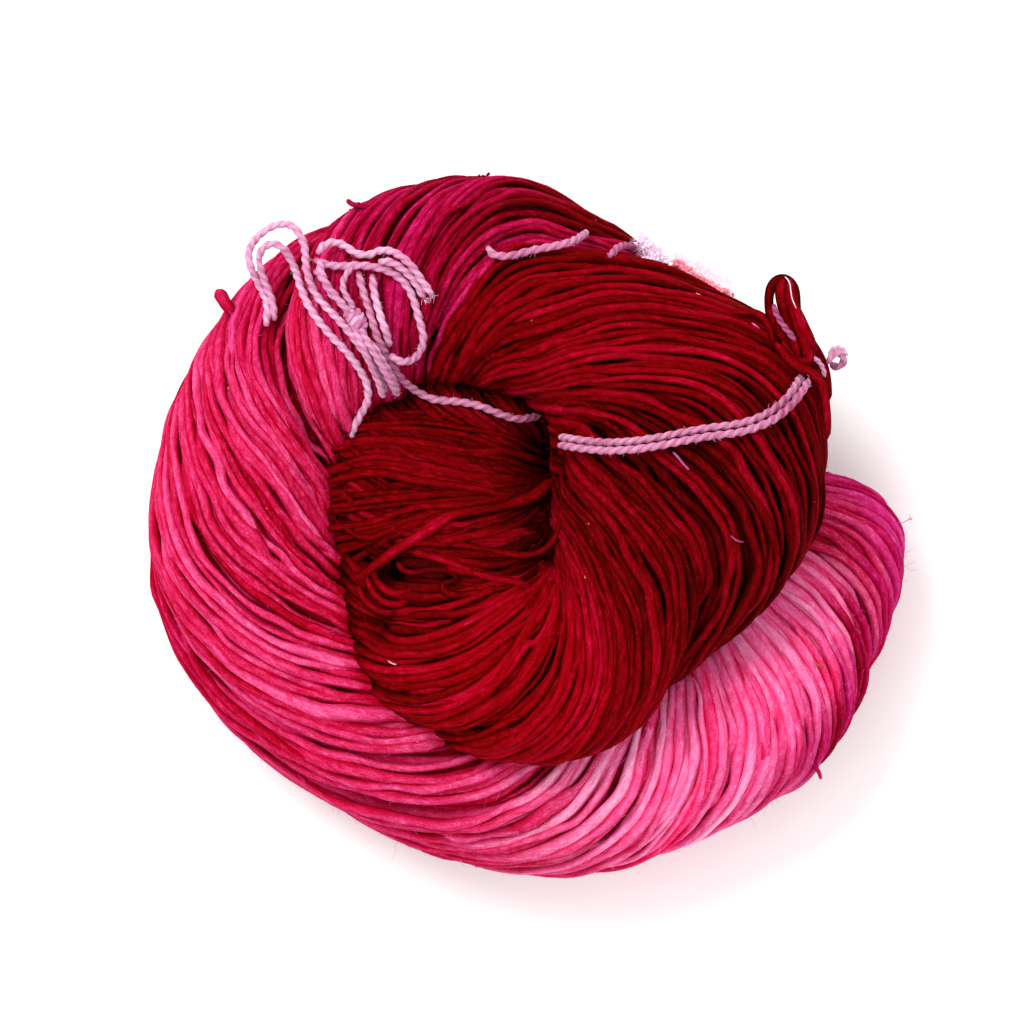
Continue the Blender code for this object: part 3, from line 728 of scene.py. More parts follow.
UPPER_END = (
    (-51.6, 67.9, 0), (-50.0, 70.1, 0), (-47.3, 70.9, 0), (-44.6, 69.8, 0), (-42.0, 68.0, 0), (-38.9, 67.6, 0),
    (-36.5, 68.6, 0), (-33.6, 68.6, 0), (-30.4, 66.9, 0), (-27.7, 64.2, 0), (-25.5, 60.9, 0), (-23.0, 57.5, 0),
)
LOWER_END = ((-36.5, 65.9, 0), (-33.4, 65.8, 0), (-30.2, 63.9, 0), (-27.4, 60.9, 0), (-25.0, 56.8, 0))
MIDDLE_STRAND = ((-52.4, 63.9, 0), (-50.3, 61.8, 0), (-48.6, 58.7, 0), (-46.6, 56.4, 0))
LINK_THREAD = (
    (-41.5, 63.5, 0), (-40.3, 58.8, 0), (-38.7, 53.8, 0), (-37.2, 48.7, 0), (-35.4, 44.3, 0), (-31.8, 38.3, 0),
    (-29.0, 35.3, 0), (-23.3, 32.0, 0), (-16.8, 31.3, 0), (-11.5, 30.3, 0), (-6.5, 28.3, 0), (-2.3, 27.0, 0),
    (1.0, 27.3, 0), (3.5, 27.8, 0),
)
SIDE_STRAND = ((-38.0, 62.8, 0), (-37.5, 58.3, 0), (-36.1, 52.9, 0), (-34.4, 48.0, 0), (-33.6, 45.0, 0))
SHORT_TAIL = ((-38.4, 46.0, 0), (-36.3, 42.6, 0), (-34.3, 39.3, 0), (-32.6, 35.8, 0), (-32.0, 33.0, 0))
BAND_THREAD = (
    (8.5, 22.5, 0), (13.8, 21.6, 0), (20.0, 21.0, 0), (26.5, 21.3, 0), (32.8, 22.2, 0), (39.3, 23.5, 0),
    (45.5, 24.6, 0), (52.0, 25.4, 0), (57.0, 26.9, 0), (60.8, 28.8, 0), (64.0, 31.5, 0), (66.4, 34.4, 0),
    (68.3, 37.6, 0),
)
TOP_THREAD = (
    (-9.3, 69.8, 0), (-8.2, 67.8, 0), (-4.3, 67.3, 0), (1.0, 68.6, 0), (6.0, 69.6, 0), (9.8, 70.4, 0),
    (13.0, 71.8, 0), (15.5, 73.6, 0),
)
YARN_TIE_LOOP = (
    (72.8, 38.2, 0), (69.3, 41.8, 0), (65.4, 45.4, 0), (62.0, 49.6, 50), (60.3, 54.5, 53), (60.4, 58.4, 55),
    (61.4, 60.8, 56), (63.6, 61.9, 56), (65.8, 60.9, 56), (66.9, 58.4, 55), (67.2, 53.6, 53), (68.6, 48.8, 50),
    (71.6, 44.8, 48), (73.8, 40.6, 48), (74.8, 36.0, 48), (74.9, 31.2, 48),
)
# Strands that lie loose on the hank: name, what it is made of, radius in mm, colour and route
LOOSE_STRANDS = (
    ("bundle_left", "cotton", 0.95, "lavender",
     ((-43.0, 50.4, 0), (-41.6, 47.4, 0), (-39.8, 43.8, 0), (-37.8, 39.2, 0), (-36.2, 35.6, 0), (-35.4, 32.4, 0))),
    ("bundle_right", "cotton", 0.95, "lavender",
     ((-41.2, 49.8, 0), (-39.6, 46.8, 0), (-37.4, 43.2, 0), (-35.4, 39.6, 0), (-33.4, 36.2, 0), (-31.9, 33.4, 0))),
    ("bundle_middle", "cotton", 1.0, "lavender",
     ((-51.0, 66.6, 0), (-50.8, 63.6, 0), (-49.4, 60.4, 0), (-47.2, 57.4, 0), (-44.9, 54.8, 0), (-43.0, 52.6, 0))),
    ("bundle_little", "cotton", 0.8, "lavender",
     ((-42.6, 65.0, 0), (-44.2, 63.2, 0), (-45.3, 60.8, 0), (-45.0, 58.4, 0), (-43.6, 56.2, 0), (-42.4, 54.0, 0))),
    ("tie_leg_front", "tie", 1.65, "crimson",
     ((70.5, 40.5, 0), (69.6, 44.8, 50), (67.6, 50.2, 53), (65.8, 54.8, 55), (64.2, 58.4, 56.5), (62.9, 60.6, 56))),
    ("tie_leg_back", "tie", 1.5, "crimson",
     ((67.8, 42.0, 0), (66.6, 46.0, 49), (65.2, 50.5, 51.5), (63.8, 55.0, 53), (63.0, 59.0, 54), (63.8, 61.4, 54.5))),
    ("tie_leg_side", "tie", 1.3, "crimson",
     ((71.6, 42.4, 0), (70.2, 46.6, 49), (68.2, 51.0, 51), (66.4, 55.5, 53), (65.2, 59.5, 54.5), (65.4, 61.6, 55))),
    ("tie_string", "cotton", 0.78, "mauve",
     ((61.4, 55.2, 57.6), (61.9, 53.4, 57.8), (63.0, 51.2, 57.6), (64.4, 49.2, 57), (65.8, 47.6, 56),
      (66.8, 46.2, 55))),
    ("tie_pale_thread", "wool", 0.15, "pale",
     ((64.2, 62.0, 58.6), (65.2, 61.6, 59.0), (65.7, 60.2, 59.2), (65.5, 58.2, 59), (66.0, 56.2, 58.4),
      (67.0, 54.2, 57.4))),
    ("tie_small_loop", "tie", 1.05, "crimson",
     ((51.5, 53.4, 0), (54.0, 53.6, 0), (56.8, 53.2, 0), (58.8, 52.2, 47), (60.2, 50.4, 48), (60.9, 48.0, 48),
      (61.6, 45.6, 0))),
    ("tie_small_loop_lint", "wool", 0.3, "blush", ((56.2, 50.7, 0), (57.2, 50.1, 0), (58.2, 49.0, 0))),
    ("tie_curl", "tie", 1.25, "crimson",
     ((63.8, 46.2, 0), (64.8, 43.6, 0), (66.8, 41.4, 0), (69.2, 40.6, 0), (71.0, 42.0, 0), (70.4, 44.2, 0))),
    ("tie_curl_lower", "tie", 1.2, "crimson",
     ((61.8, 45.8, 0), (64.2, 43.0, 0), (67.2, 39.8, 0), (70.4, 38.4, 0), (72.9, 36.2, 0), (74.2, 32.0, 0),
      (74.6, 27.0, 0), (74.6, 22.0, 0))),
    ("tie_lint", "cotton", 0.62, "lavender", ((71.4, 42.2, 0), (72.8, 40.9, 0), (73.8, 39.3, 0), (74.2, 37.3, 0))),
    ("tie_ring", "cotton", 0.98, "dusty",
     ((75.2, 40.6, 45), (75.7, 42.2, 45.5), (76.9, 43.3, 46), (78.3, 43.2, 46), (79.2, 42.1, 45.5),
      (79.0, 40.7, 45), (77.9, 39.8, 44.5), (76.5, 40.0, 44.5), (75.8, 41.2, 44.8))),
    ("tie_ring_pale", "cotton", 0.55, "lavender",
     ((75.4, 43.0, 47), (76.4, 44.4, 47.3), (77.8, 44.8, 47.5), (79.2, 44.0, 47.3), (79.9, 42.6, 47))),
    ("edge_string", "cotton", 0.95, "mauve",
     ((20.0, 67.2, 0), (21.6, 67.8, 0), (22.4, 69.2, 0), (24.0, 70.0, 0), (25.6, 70.2, 0), (27.2, 69.6, 0),
      (28.4, 68.4, 0))),
    ("stray_thick", "wool", 1.6, "crimson",
     ((-42.6, -14.0, 0), (-39.8, -11.6, 0), (-36.8, -9.2, 0), (-31.3, -5.2, 0), (-26.8, -2.5, 0), (-22.8, 0.4, 0),
      (-18.3, 3.0, 0), (-13.5, 3.9, 0), (-5.3, 5.3, 0), (2.4, 8.0, 0), (7.0, 12.0, 0))),
    ("stray_upper", "wool", 0.95, "crimson",
     ((-30.0, -4.0, 0), (-27.5, -3.9, 0), (-22.8, -4.2, 0), (-16.8, -4.3, 0), (-11.2, -5.3, 0), (-5.0, -6.4, 0),
      (1.0, -7.0, 0), (5.5, -5.0, 0), (8.2, -1.0, 0), (8.8, 4.0, 0))),
    ("stray_lower", "wool", 1.0, "crimson",
     ((-29.0, -6.0, 0), (-26.0, -6.6, 0), (-22.8, -7.4, 0), (-16.8, -9.4, 0), (-12.5, -11.5, 0), (-6.8, -12.8, 0),
      (-1.8, -13.8, 0), (0.9, -14.7, 0), (0.9, -16.4, 0))),
    ("stray_fold", "wool", 0.85, "crimson",
     ((-31.8, -8.6, 0), (-30.6, -10.6, 0), (-28.2, -11.4, 0), (-25.4, -10.9, 0), (-22.4, -10.2, 0),
      (-19.0, -10.9, 0), (-16.6, -12.0, 0), (-16.6, -13.4, 0), (-19.0, -13.6, 0), (-21.0, -13.6, 0),
      (-20.8, -15.2, 0), (-18.4, -16.9, 0), (-14.4, -16.6, 0), (-9.0, -15.6, 0))),
    ("stray_hook_high", "wool", 1.05, "crimson",
     ((-38.0, -10.6, 0), (-37.2, -12.8, 0), (-35.6, -15.0, 0), (-33.0, -16.5, 0), (-30.0, -16.5, 0),
      (-27.2, -15.0, 0))),
    ("stray_hook_middle", "wool", 0.95, "crimson",
     ((-39.4, -12.4, 0), (-38.4, -15.2, 0), (-36.4, -17.8, 0), (-33.6, -19.2, 0), (-30.6, -19.0, 0),
      (-28.0, -17.6, 0))),
    ("stray_hook_low", "wool", 0.95, "crimson",
     ((-41.4, -14.8, 0), (-40.2, -17.6, 0), (-37.8, -19.9, 0), (-34.8, -21.2, 0), (-31.6, -20.9, 0))),
    ("stray_left", "wool", 0.9, "crimson",
     ((-44.6, -0.2, 0), (-42.6, -1.8, 0), (-39.6, -2.8, 0), (-36.6, -2.2, 0), (-33.4, -0.6, 0), (-29.0, 0.6, 0))),
    ("scrap_right", "cotton", 0.32, "mauve", ((36.4, 18.6, 0), (37.6, 17.4, 0), (38.8, 15.8, 0), (40.4, 14.2, 0))),
    ("scrap_low", "cotton", 0.24, "mauve", ((50.6, -2.0, 0), (52.2, -3.4, 0), (53.8, -3.6, 0))),
    ("scrap_left", "cotton", 0.22, "lavender", ((-34.0, -33.0, 0), (-33.0, -33.8, 0), (-31.8, -34.0, 0))),
    ("scrap_edge", "wool", 0.2, "straw", ((42.4, 58.2, 0), (43.2, 57.8, 0), (44.0, 57.4, 0))),
    ("edge_stub", "wool", 1.5, "rose",
     ((-71.2, 51.8, 24), (-73.4, 54.0, 25), (-75.0, 56.0, 25.5), (-76.0, 57.8, 25.5), (-76.9, 59.0, 25))),
    ("edge_tail_top", "wool", 0.7, "magenta",
     ((-38.9, 79.6, 25), (-40.6, 80.1, 25), (-42.2, 80.3, 25), (-43.6, 80.8, 25), (-44.4, 81.8, 25))),
    ("edge_tail_low", "wool", 0.55, "plum",
     ((71.6, -58.6, 24), (72.8, -60.2, 23), (73.6, -61.6, 22), (74.0, -63.0, 21))),
    ("loop_start", "cotton", 0.95, "lavender",
     ((-66.3, 66.6, 40), (-65.6, 63.4, 38), (-64.3, 59.8, 37), (-62.9, 56.0, 0), (-62.4, 51.5, 0))),
    ("scrap_orange", "wool", 0.22, "orange",
     ((72.2, -33.6, 0), (72.7, -34.6, 0), (73.7, -35.1, 0), (74.8, -34.9, 0))),
    ("speck_fibre", "wool", 0.10, "blush", ((93.0, 1.2, 14), (94.2, 1.0, 14), (95.4, 1.4, 14), (96.6, 2.2, 14))),
)
# The end of the skein, spread like two fans over the middle of the coil: routes that its strands lie between, from
# the left edge to the crevice, top one first
UPPER_FAN = (
    ((-47.2, 27.7), (-36.0, 28.2), (-26.0, 28.4), (-15.5, 27.0), (-6.5, 24.6), (4.0, 19.0)),
    ((-50.0, 22.8), (-38.0, 24.2), (-27.0, 24.0), (-15.0, 22.0), (-5.0, 19.6), (5.0, 16.0)),
    ((-51.4, 16.8), (-38.0, 19.4), (-26.0, 17.8), (-14.0, 15.8), (-3.4, 15.2), (6.0, 13.4)),
    ((-52.0, 9.4), (-38.0, 12.4), (-26.0, 11.4), (-14.0, 9.2), (-3.4, 9.0), (6.4, 11.2)),
    ((-51.4, 3.2), (-38.8, 3.6), (-28.0, 5.4), (-16.0, 6.4), (-4.0, 7.6), (6.4, 10.4)),
    ((-49.0, -3.6), (-38.8, -2.0), (-28.0, 2.0), (-17.0, 4.8), (-5.0, 6.8), (6.2, 9.6)),
    ((-45.0, -12.0), (-38.0, -6.6), (-28.6, -1.0), (-18.6, 2.8), (-6.0, 5.6), (6.0, 8.8)),
)
LOWER_FAN = (
    ((-25.8, -3.0), (-20.3, -0.8), (-14.2, 1.0), (-6.9, 2.6), (-0.8, 5.2), (3.6, 8.9)),
    ((-26.2, -4.9), (-15.4, -4.2), (-8.1, -3.1), (-2.0, -0.6), (2.9, 3.0), (6.6, 8.8)),
    ((-24.6, -6.4), (-14.2, -8.6), (-6.9, -9.4), (-0.8, -7.4), (3.9, -4.2), (8.2, 3.4)),
    ((-17.0, -14.2), (-11.0, -15.2), (-5.0, -15.2), (0.9, -13.4), (4.9, -10.0), (9.2, -2.7)),
)
FANS = ((UPPER_FAN, 27), (LOWER_FAN, 13))  # and how many strands each has
FAN_BETWEEN, FAN_ASTRAY = (0.2, 0.8), 0.6  # where a strand lies in its share of the fan, and mm that it strays
FAN_RADIUS, FAN_THICK = 1.05, 0.18  # mm, and how much it differs, in its logarithm
FAN_HEIGHT = (-0.9, 1.2)  # mm above the hank, of the lowest and highest strand's middle
FAN_RINGS = 58
FAN_DYE = (1.0, 1.3)  # least and most strength of a strand's dye
FAN_DARK = (-12.0, 6.0)  # x in mm from which the fan's painted shade of the crevice begins, and where it is darkest
# The string's knot: turns of string round a short bundle
KNOT_MIDDLE = (-42.0, 51.4)
KNOT_HALF = (4.6, 1.9, 2.3)  # half its length, width and height in mm
KNOT_HEADING = -58.0  # degrees from the x axis
KNOT_RINGS, KNOT_SIDES, KNOT_CLOSE = 13, 12, 0.97  # of the form that is set on the hank, up to that share of its half
KNOT_WRAPS, KNOT_WRAP_DEPTH = 3, 0.35  # humps of that form, and the mm of its furrows
KNOT_CORE = 0.8  # of its half length, in which strings that come later are kept off it
KNOT_TURNS, KNOT_WRAP_POINTS = 4, 24  # of the string, and places in a turn
KNOT_SPREAD, KNOT_BULGE = 0.52, 0.35  # of its half length that they take, and how far the middle one stands out
KNOT_SUNK = (0.6, 0.8)  # of the string's radius: how far its turns lie in from the knot's width and height
KNOT_BUNDLE = (0.9, 0.72)  # of half the knot's length and width: the bundle in the turns


def beside(route, distance):
    """The route moved sideways by distance, to its right as it runs."""
    route = np.asarray(route, float)
    heading = np.gradient(route[:, :2], axis=0)
    heading /= np.linalg.norm(heading, axis=1, keepdims=True)
    moved = route.copy()
    moved[:, :2] += np.stack([heading[:, 1], -heading[:, 0]], axis=1) * distance
    return moved


def read_evenly(route):
    """A smooth curve through the route, at places STRING_READ apart as seen from above."""
    rough = smooth_through(route, np.linspace(0, len(route) - 1, READS * len(route)))
    way = along(rough[:, :2])
    even = np.linspace(0, way[-1], int(way[-1] / STRING_READ) + 2)
    return np.stack([np.interp(even, way, rough[:, i]) for i in range(3)], axis=1)


def spans(heights):
    """Each height with the STRING_SPAN before it and after it, for those that have so many."""
    return np.lib.stride_tricks.sliding_window_view(heights, 2 * STRING_SPAN + 1)


class Strings:
    """Lays strings over the rope and over each other, in the order in which they are made."""

    def __init__(self):
        grid = rope().points[::2, ::2] * MM  # half of its sections and columns are enough to lie on
        places = np.arange(grid[..., 0].size).reshape(grid.shape[:2])
        here, there = places[:-1], places[1:]
        faces = np.stack([here, np.roll(here, -1, axis=1), np.roll(there, -1, axis=1), there], axis=-1)
        self.surface = BVHTree.FromPolygons(grid.reshape(-1, 3).tolist(), faces.reshape(-1, 4).tolist())
        self.laid = []
        self.knot = self.seat_knot()

    def height_under(self, x, y):
        """Height of the hank at x, y in mm, or 0 beside it."""
        start = Vector((x, y, HIGH_UP)) * MM
        found = self.surface.ray_cast(start, Vector((0, 0, -1)))[0]
        return found.z / MM if found else 0.0

    def seat(self, ways, radius):
        """The least height of the string's middle at each point of ways, so that it clears what is under it."""
        reach = radius + STRING_REST
        heading = np.gradient(ways[:, :2], axis=0)
        heading /= np.linalg.norm(heading, axis=1, keepdims=True)
        across = np.stack([-heading[:, 1], heading[:, 0]], axis=1)
        height = ways[:, 2].copy()
        for offset in np.linspace(-reach, reach, STRING_PROBES):
            spots = ways[:, :2] + across * offset
            under = np.array([self.height_under(x, y) for x, y in spots])
            height = np.maximum(height, under + np.sqrt(reach**2 - offset**2))
        for other, other_radius in self.laid:
            both = reach + other_radius
            apart = np.linalg.norm(ways[:, None, :2] - other[None, :, :2], axis=2)
            lift = np.sqrt(np.maximum(both**2 - apart**2, 0))
            over = np.where(apart < both, other[None, :, 2] + lift, 0.0)
            height = np.maximum(height, over.max(axis=1))
        return height

    def lay(self, route, radius):
        """The string's middle in mm: a smooth curve through the route, dropped on what is under it, that bends
        gently over each ridge: the greatest height within STRING_SPAN, then the mean of that."""
        curve = read_evenly(route)
        seat = np.pad(self.seat(curve, radius), 2 * STRING_SPAN, mode="edge")
        curve[:, 2] = spans(spans(seat).max(axis=1)).mean(axis=1)
        self.laid.append((curve, radius))
        return curve

    def drop(self, route, above):
        """The route's smooth curve, its height that of the hank under it and above mm more, evened out."""
        curve = read_evenly(route)
        height = [self.height_under(x, y) + above for x, y in curve[:, :2]]
        curve[:, 2] = spans(np.pad(height, STRING_SPAN, mode="edge")).mean(axis=1)
        return curve

    def seat_knot(self):
        """Height of the knot's middle, with the strings that come later kept off it."""
        long, wide, high = KNOT_HALF
        t = np.linspace(-KNOT_CLOSE, KNOT_CLOSE, KNOT_RINGS)[:, None]
        turn = np.arange(KNOT_SIDES)[None, :] * TAU / KNOT_SIDES
        wrap = 1 - KNOT_WRAP_DEPTH / wide * (0.5 + 0.5 * np.cos(TAU * KNOT_WRAPS * t))
        size = np.sqrt(1 - t**2) * wrap
        heading = np.radians(KNOT_HEADING)
        forward = np.array([np.cos(heading), np.sin(heading)])
        left = np.array([-forward[1], forward[0]])
        flat = (
            np.asarray(KNOT_MIDDLE)
            + (t * long * np.ones_like(turn))[:, :, None] * forward
            + (size * wide * np.cos(turn))[:, :, None] * left
        )
        under = np.vectorize(self.height_under)(flat[:, :, 0], flat[:, :, 1])
        seat = (under - size * high * np.sin(turn)).max() + STRING_REST
        core = np.arange(-KNOT_CORE * long, KNOT_CORE * long, STRING_READ)
        middle = np.column_stack([np.asarray(KNOT_MIDDLE) + core[:, None] * forward, np.full(len(core), seat)])
        self.laid.append((middle, wide))
        return seat


UPWARDS = np.array([0.0, 0.0, 1.0])
CORNER_ROUNDS = 6  # in which a curve's corners are worn off
STRING_PITCH = 5.6  # radii for one turn of the string's two plies
STRING_SIDES, STRING_STEP = 14, 0.45  # points of a ring, and mm between two rings
PLY_RADIUS, PLY_OFFSET = 0.74, 0.30  # of a ply, and from the string's middle to the ply's, of the string's radius
FURROW_SHADE, FURROW = 0.6, (1.04, 0.44)  # painted shade in the furrow between the plies, from that share of the radius down by the next
WOOL_SIDES, WOOL_STEP = 9, 0.9
WOOL_THICK, WOOL_MOST = (6.0, 0.10), 0.3  # waves of a loose strand's radius, in its logarithm, and their limit
STRING_END, WOOL_END = (0.5, 1.2), (0.45, 1.5)  # size of a cut end, and the radii over which it comes down to it
FIBRE_TWIST = 9.0  # mm of a strand in which its fibres turn by one radian
FIBRE_START = 500  # mm: how far apart the strands' fibres are read from the noise, at most
LOOSE_SHADE = 1.3  # painted shade on a loose strand's lower half
STRENGTH_WAVE = (8.0, 0.15)  # of a loose strand's dye, in the logarithm of its strength


def evenly(curve, step, count=None):
    """The curve at even steps, its corners worn off, and the way along it. count, if given, sets the places."""
    way = along(curve)
    even = np.linspace(0, way[-1], count or int(way[-1] / step) + 3)
    path = np.stack([np.interp(even, way, curve[:, i]) for i in range(3)], axis=1)
    for _ in range(CORNER_ROUNDS):
        path[1:-1] = (path[:-2] + 2 * path[1:-1] + path[2:]) / 4
    return path, even


def tapered(even, radius, end):
    """The size along a strand, which comes down towards both ends to the first number of end, over the second
    number of radii."""
    ends = np.minimum(even, even[-1] - even)[:, None]
    return end[0] + (1 - end[0]) * smoothstep(0, end[1] * radius, ends)


def lie_along(lengths, reach, spin):
    """Places in the strand: mm along it, and across it at a distance and an angle."""
    return np.stack([lengths + 0 * spin, reach * np.cos(spin), reach * np.sin(spin)], axis=-1)


def round_path(path, up, reach, turn):
    """A ring of points round each point of the path, at the distances in reach and the angles in turn."""
    heading = unit(np.gradient(path, axis=0))
    side = unit(np.cross(heading, up))
    upright = np.cross(side, heading)
    return path[:, None, :] + reach[:, :, None] * (
        side[:, None, :] * np.cos(turn)[:, :, None] + upright[:, None, :] * np.sin(turn)[:, :, None]
    )


def two_ply(curve, radius, up=UPWARDS):
    """Rings of a two-ply string: the outline of two round plies side by side, which turns as it goes along."""
    path, even = evenly(curve, STRING_STEP)
    turn = np.arange(STRING_SIDES)[None, :] * TAU / STRING_SIDES
    twist = even[:, None] / (STRING_PITCH * radius) * TAU
    ply, offset = PLY_RADIUS * radius, PLY_OFFSET * radius
    away = np.abs(np.cos(turn - twist))
    reach = offset * away + np.sqrt(ply**2 - offset**2 * (1 - away**2))
    reach = reach * tapered(even, radius, STRING_END)
    ring = round_path(path, up, reach, turn + 0 * twist)
    tuck = FURROW_SHADE * np.clip((FURROW[0] - reach / radius) / FURROW[1], 0, 1)
    return ring, path, lie_along(even[:, None], reach, turn - 2 * twist), tuck


def one_ply(curve, radius, random, up=UPWARDS, count=None):
    """Rings of a thick-and-thin strand of wool, with painted shade on its lower half."""
    path, even = evenly(curve, WOOL_STEP, count)
    turn = np.arange(WOOL_SIDES)[None, :] * TAU / WOOL_SIDES
    thick = np.clip(waves(random, 1, WOOL_THICK, len(even), WOOL_STEP), -WOOL_MOST, WOOL_MOST)
    reach = radius * np.exp(thick) * tapered(even, radius, WOOL_END) + 0 * turn
    ring = round_path(path, up, reach, turn + 0 * reach)
    start = even[:, None] + random.uniform(0, FIBRE_START)
    lie = lie_along(start, reach, turn + even[:, None] / FIBRE_TWIST)
    return ring, path, lie, LOOSE_SHADE * np.clip(1 - np.sin(turn), 0, 1) + 0 * reach


def strand_piece(name, kind, curve, radius, colour, random, up=UPWARDS):
    """A piece that follows the curve, of two-ply cotton or of wool, and the path of its rings' middles."""
    if kind == "cotton":
        ring, path, lie, tuck = two_ply(curve, radius, up)
        material, slot = cotton_material(), "cotton_string"
    else:
        ring, path, lie, tuck = one_ply(curve, radius, random, up)
        material, slot = wool_material(), "red_yarn" if kind == "tie" else "dyed_yarn"
    strength = np.exp(waves(random, 1, STRENGTH_WAVE, len(path), STRING_STEP))
    dye = np.full((*tuck.shape, 4), RESPONSE["crimson"])
    dye[..., :3] = (np.asarray(colour)[None, :] ** strength)[:, None, :]
    return tube_mesh(name, ring[None], material, dye, lie, tuck), path


# ---------------------------------------------------------------- hairs, neps and tufts

HAIR_PLACES, HAIR_SIDES = 4, 3
HAIR_CURL, HAIR_WAVE = (0.2, 1.0), 0.18  # of its length: how far a hair bends to one side and waves to the other
HAIR_TIP = 0.5  # of its thickness
HAIR_FLOOR = 0.15  # mm from the floor to a hair's middle
NEP_PLACES, NEP_SIDES = 5, 6
NEP_LONG, NEP_CLOSE = 1.4, 0.94  # length of a nep, of its thickness, and where its ends close


def threads(name, path, radius, third, sides, colours):
    """One piece of many short tubes: path is tubes by places by x, y, z, and third has a direction across each."""
    rings, _ = rings_round(path, np.broadcast_to(third[:, None, :], path.shape), radius, sides)
    rings[..., 2] = np.maximum(rings[..., 2], FLOOR_GAP)
    dye = np.ones((*rings.shape[:3], 4))
    dye[..., :3] = colours[:, None, None, :]
    tube_mesh(name, rings, fibre_material(), dye, rings, np.zeros(rings.shape[:3]))


def hairs(name, roots, ways, lengths, thickness, colours, random, slot):
    """Fine hairs that leave their roots along ways and curl: a bend to one side that grows with the square of the
    length, and a small wave to the other."""
    t = np.linspace(0, 1, HAIR_PLACES)[None, :, None]
    ways = unit(ways)
    bend = unit(np.cross(ways, random.normal(size=ways.shape)))
    third = np.cross(ways, bend)
    curl = random.uniform(*HAIR_CURL, (len(ways), 1, 1))
    wave = random.uniform(-HAIR_WAVE, HAIR_WAVE, (len(ways), 1, 1))
    shape = t * ways[:, None, :] + curl * t**2 * bend[:, None, :] + wave * np.sin(t * TAU) * third[:, None, :]
    path = roots[:, None, :] + lengths[:, None, None] * shape
    path[..., 2] = np.maximum(path[..., 2], HAIR_FLOOR)
    radius = np.broadcast_to(thickness, (len(ways),))[:, None] * (1 - (1 - HAIR_TIP) * t[..., 0])
    threads(name, path, radius, third, HAIR_SIDES, colours)


def neps(name, roots, heading, size, colours, slot):
    """Small knots of fibre: short tubes as round as an egg, longer along heading."""
    t = np.linspace(-1, 1, NEP_PLACES)[None, :]
    path = roots[:, None, :] + unit(heading)[:, None, :] * (t * size[:, None] * NEP_LONG)[:, :, None]
    third = unit(np.cross(heading, np.roll(heading, 1, axis=1) + (0.1, 0.2, 0.3)))
    threads(name, path, size[:, None] * np.sqrt(1 - (NEP_CLOSE * t) ** 2), third, NEP_SIDES, colours)


# Tufts of loose fibre: the ends of the line that the roots lie along and how far they spread from it in mm, the
# number of hairs, their length and thickness in mm, the way they lie, their colour and the number of clumps
TUFTS = (
    ((-76.6, 58.6, 25), (-75.0, 56.4, 25.5), 0.5, 40, 0.9, 0.06, (-0.4, 0.5, 0.2), "rose", 14),
    ((-44.2, 80.0, 24), (-39.4, 81.0, 24), 0.4, 12, 0.9, 0.06, (-0.2, 1.0, 0.1), "magenta", 16),
    ((-12.0, 87.4, 26), (-9.6, 87.7, 26), 0.35, 8, 1.4, 0.06, (-0.4, 1.0, 0.1), "crimson", 20),
    ((0.2, 85.0, 26), (1.6, 84.6, 26), 0.3, 6, 1.2, 0.06, (0.1, 1.0, 0.1), "crimson", 10),
    ((11.2, 80.0, 28), (12.8, 79.4, 28), 0.3, 6, 1.3, 0.06, (0.1, 1.0, 0.1), "crimson", 14),
    ((96.5, 2.1, 14), (97.1, 2.4, 14), 0.15, 8, 0.7, 0.07, (0.0, 0.4, 0.0), "blush", 5),
    ((28.8, 71.6, 33), (34.6, 65.8, 40.5), 1.05, 1500, 1.5, 0.038, (0.1, 0.2, 0.4), "pale", 210),
    ((36.2, 66.2, 35), (50.6, 57.6, 40), 0.6, 900, 1.7, 0.04, (1.0, -0.5, 0.2), "coral", 100),
    ((37.0, 68.2, 32), (51.6, 60.6, 36), 0.8, 600, 1.9, 0.035, (0.8, 0.2, 0.1), "pale", 0),
    ((16.6, 74.8, 28), (16.0, 78.4, 28), 0.4, 40, 2.4, 0.04, (-0.7, 0.7, 0.1), "pale", 0),
    ((75.6, 44.4, 46), (79.6, 44.4, 46), 0.7, 90, 1.3, 0.05, (0.1, 0.8, 0.2), "pale", 0),
)
TUFT_LENGTH = (0.35, 1.1)  # least and most of that length
CLUMP_SIZE = 0.3  # of a tuft's hairs' length
FUZZ_PER_MM, FUZZ_LENGTH, FUZZ_THICK = 1.6, (0.3, 0.9), 0.03  # short fibres on each mm of string, their size in mm
FRAYS, FRAY_LENGTH, FRAY_THICK = 11, (0.52, 1.56), 0.045  # hairs at a string's frayed end, their size in mm
FRAY_SPREAD = (0.3, 0.4)  # how far they lie apart, in mm, and how far they spread
HAIRS, HAIR_THICK, HAIR_DYE = 7000, 0.045, 0.8  # of the yarn's halo, mm, and the strength of their dye
HAIR_OUT, HAIR_ALONG, HAIR_ASTRAY = (0.15, 0.9), 1.2, 0.3  # shares of their way: outwards, along the strand, any way
HAIR_LENGTH, LONG_HAIRS, LONG_MORE = (0.6, 1.7), 0.06, 2.6  # mm, the share that stands well off, and how much further
HAIR_ROOT = 0.85  # of the strand's radius: where hairs and neps are rooted
HAIR_TILT = 1.2  # most radians from the strand's outer side to a root
HAIR_TRIES, HAIR_ENDS = 5, 2  # places tried for each that is wanted, and sections left out at the rope's ends
SHOWN_DEPTH = 2.8  # mm: strands deeper than this carry no hairs
SEEN_FROM = -0.35  # and neither do those whose outer side faces further down than this
NEPS, NEP_SIZE = 230, (0.15, 0.36)  # knots of fibre on the yarn, and their least and most radius in mm
NEP_DYE = 1.25  # strength of the dye in a knot of fibre, of that in a single hair
ORANGE_NEPS = 18  # one nep in so many is orange


# ---------------------------------------------------------------- settings

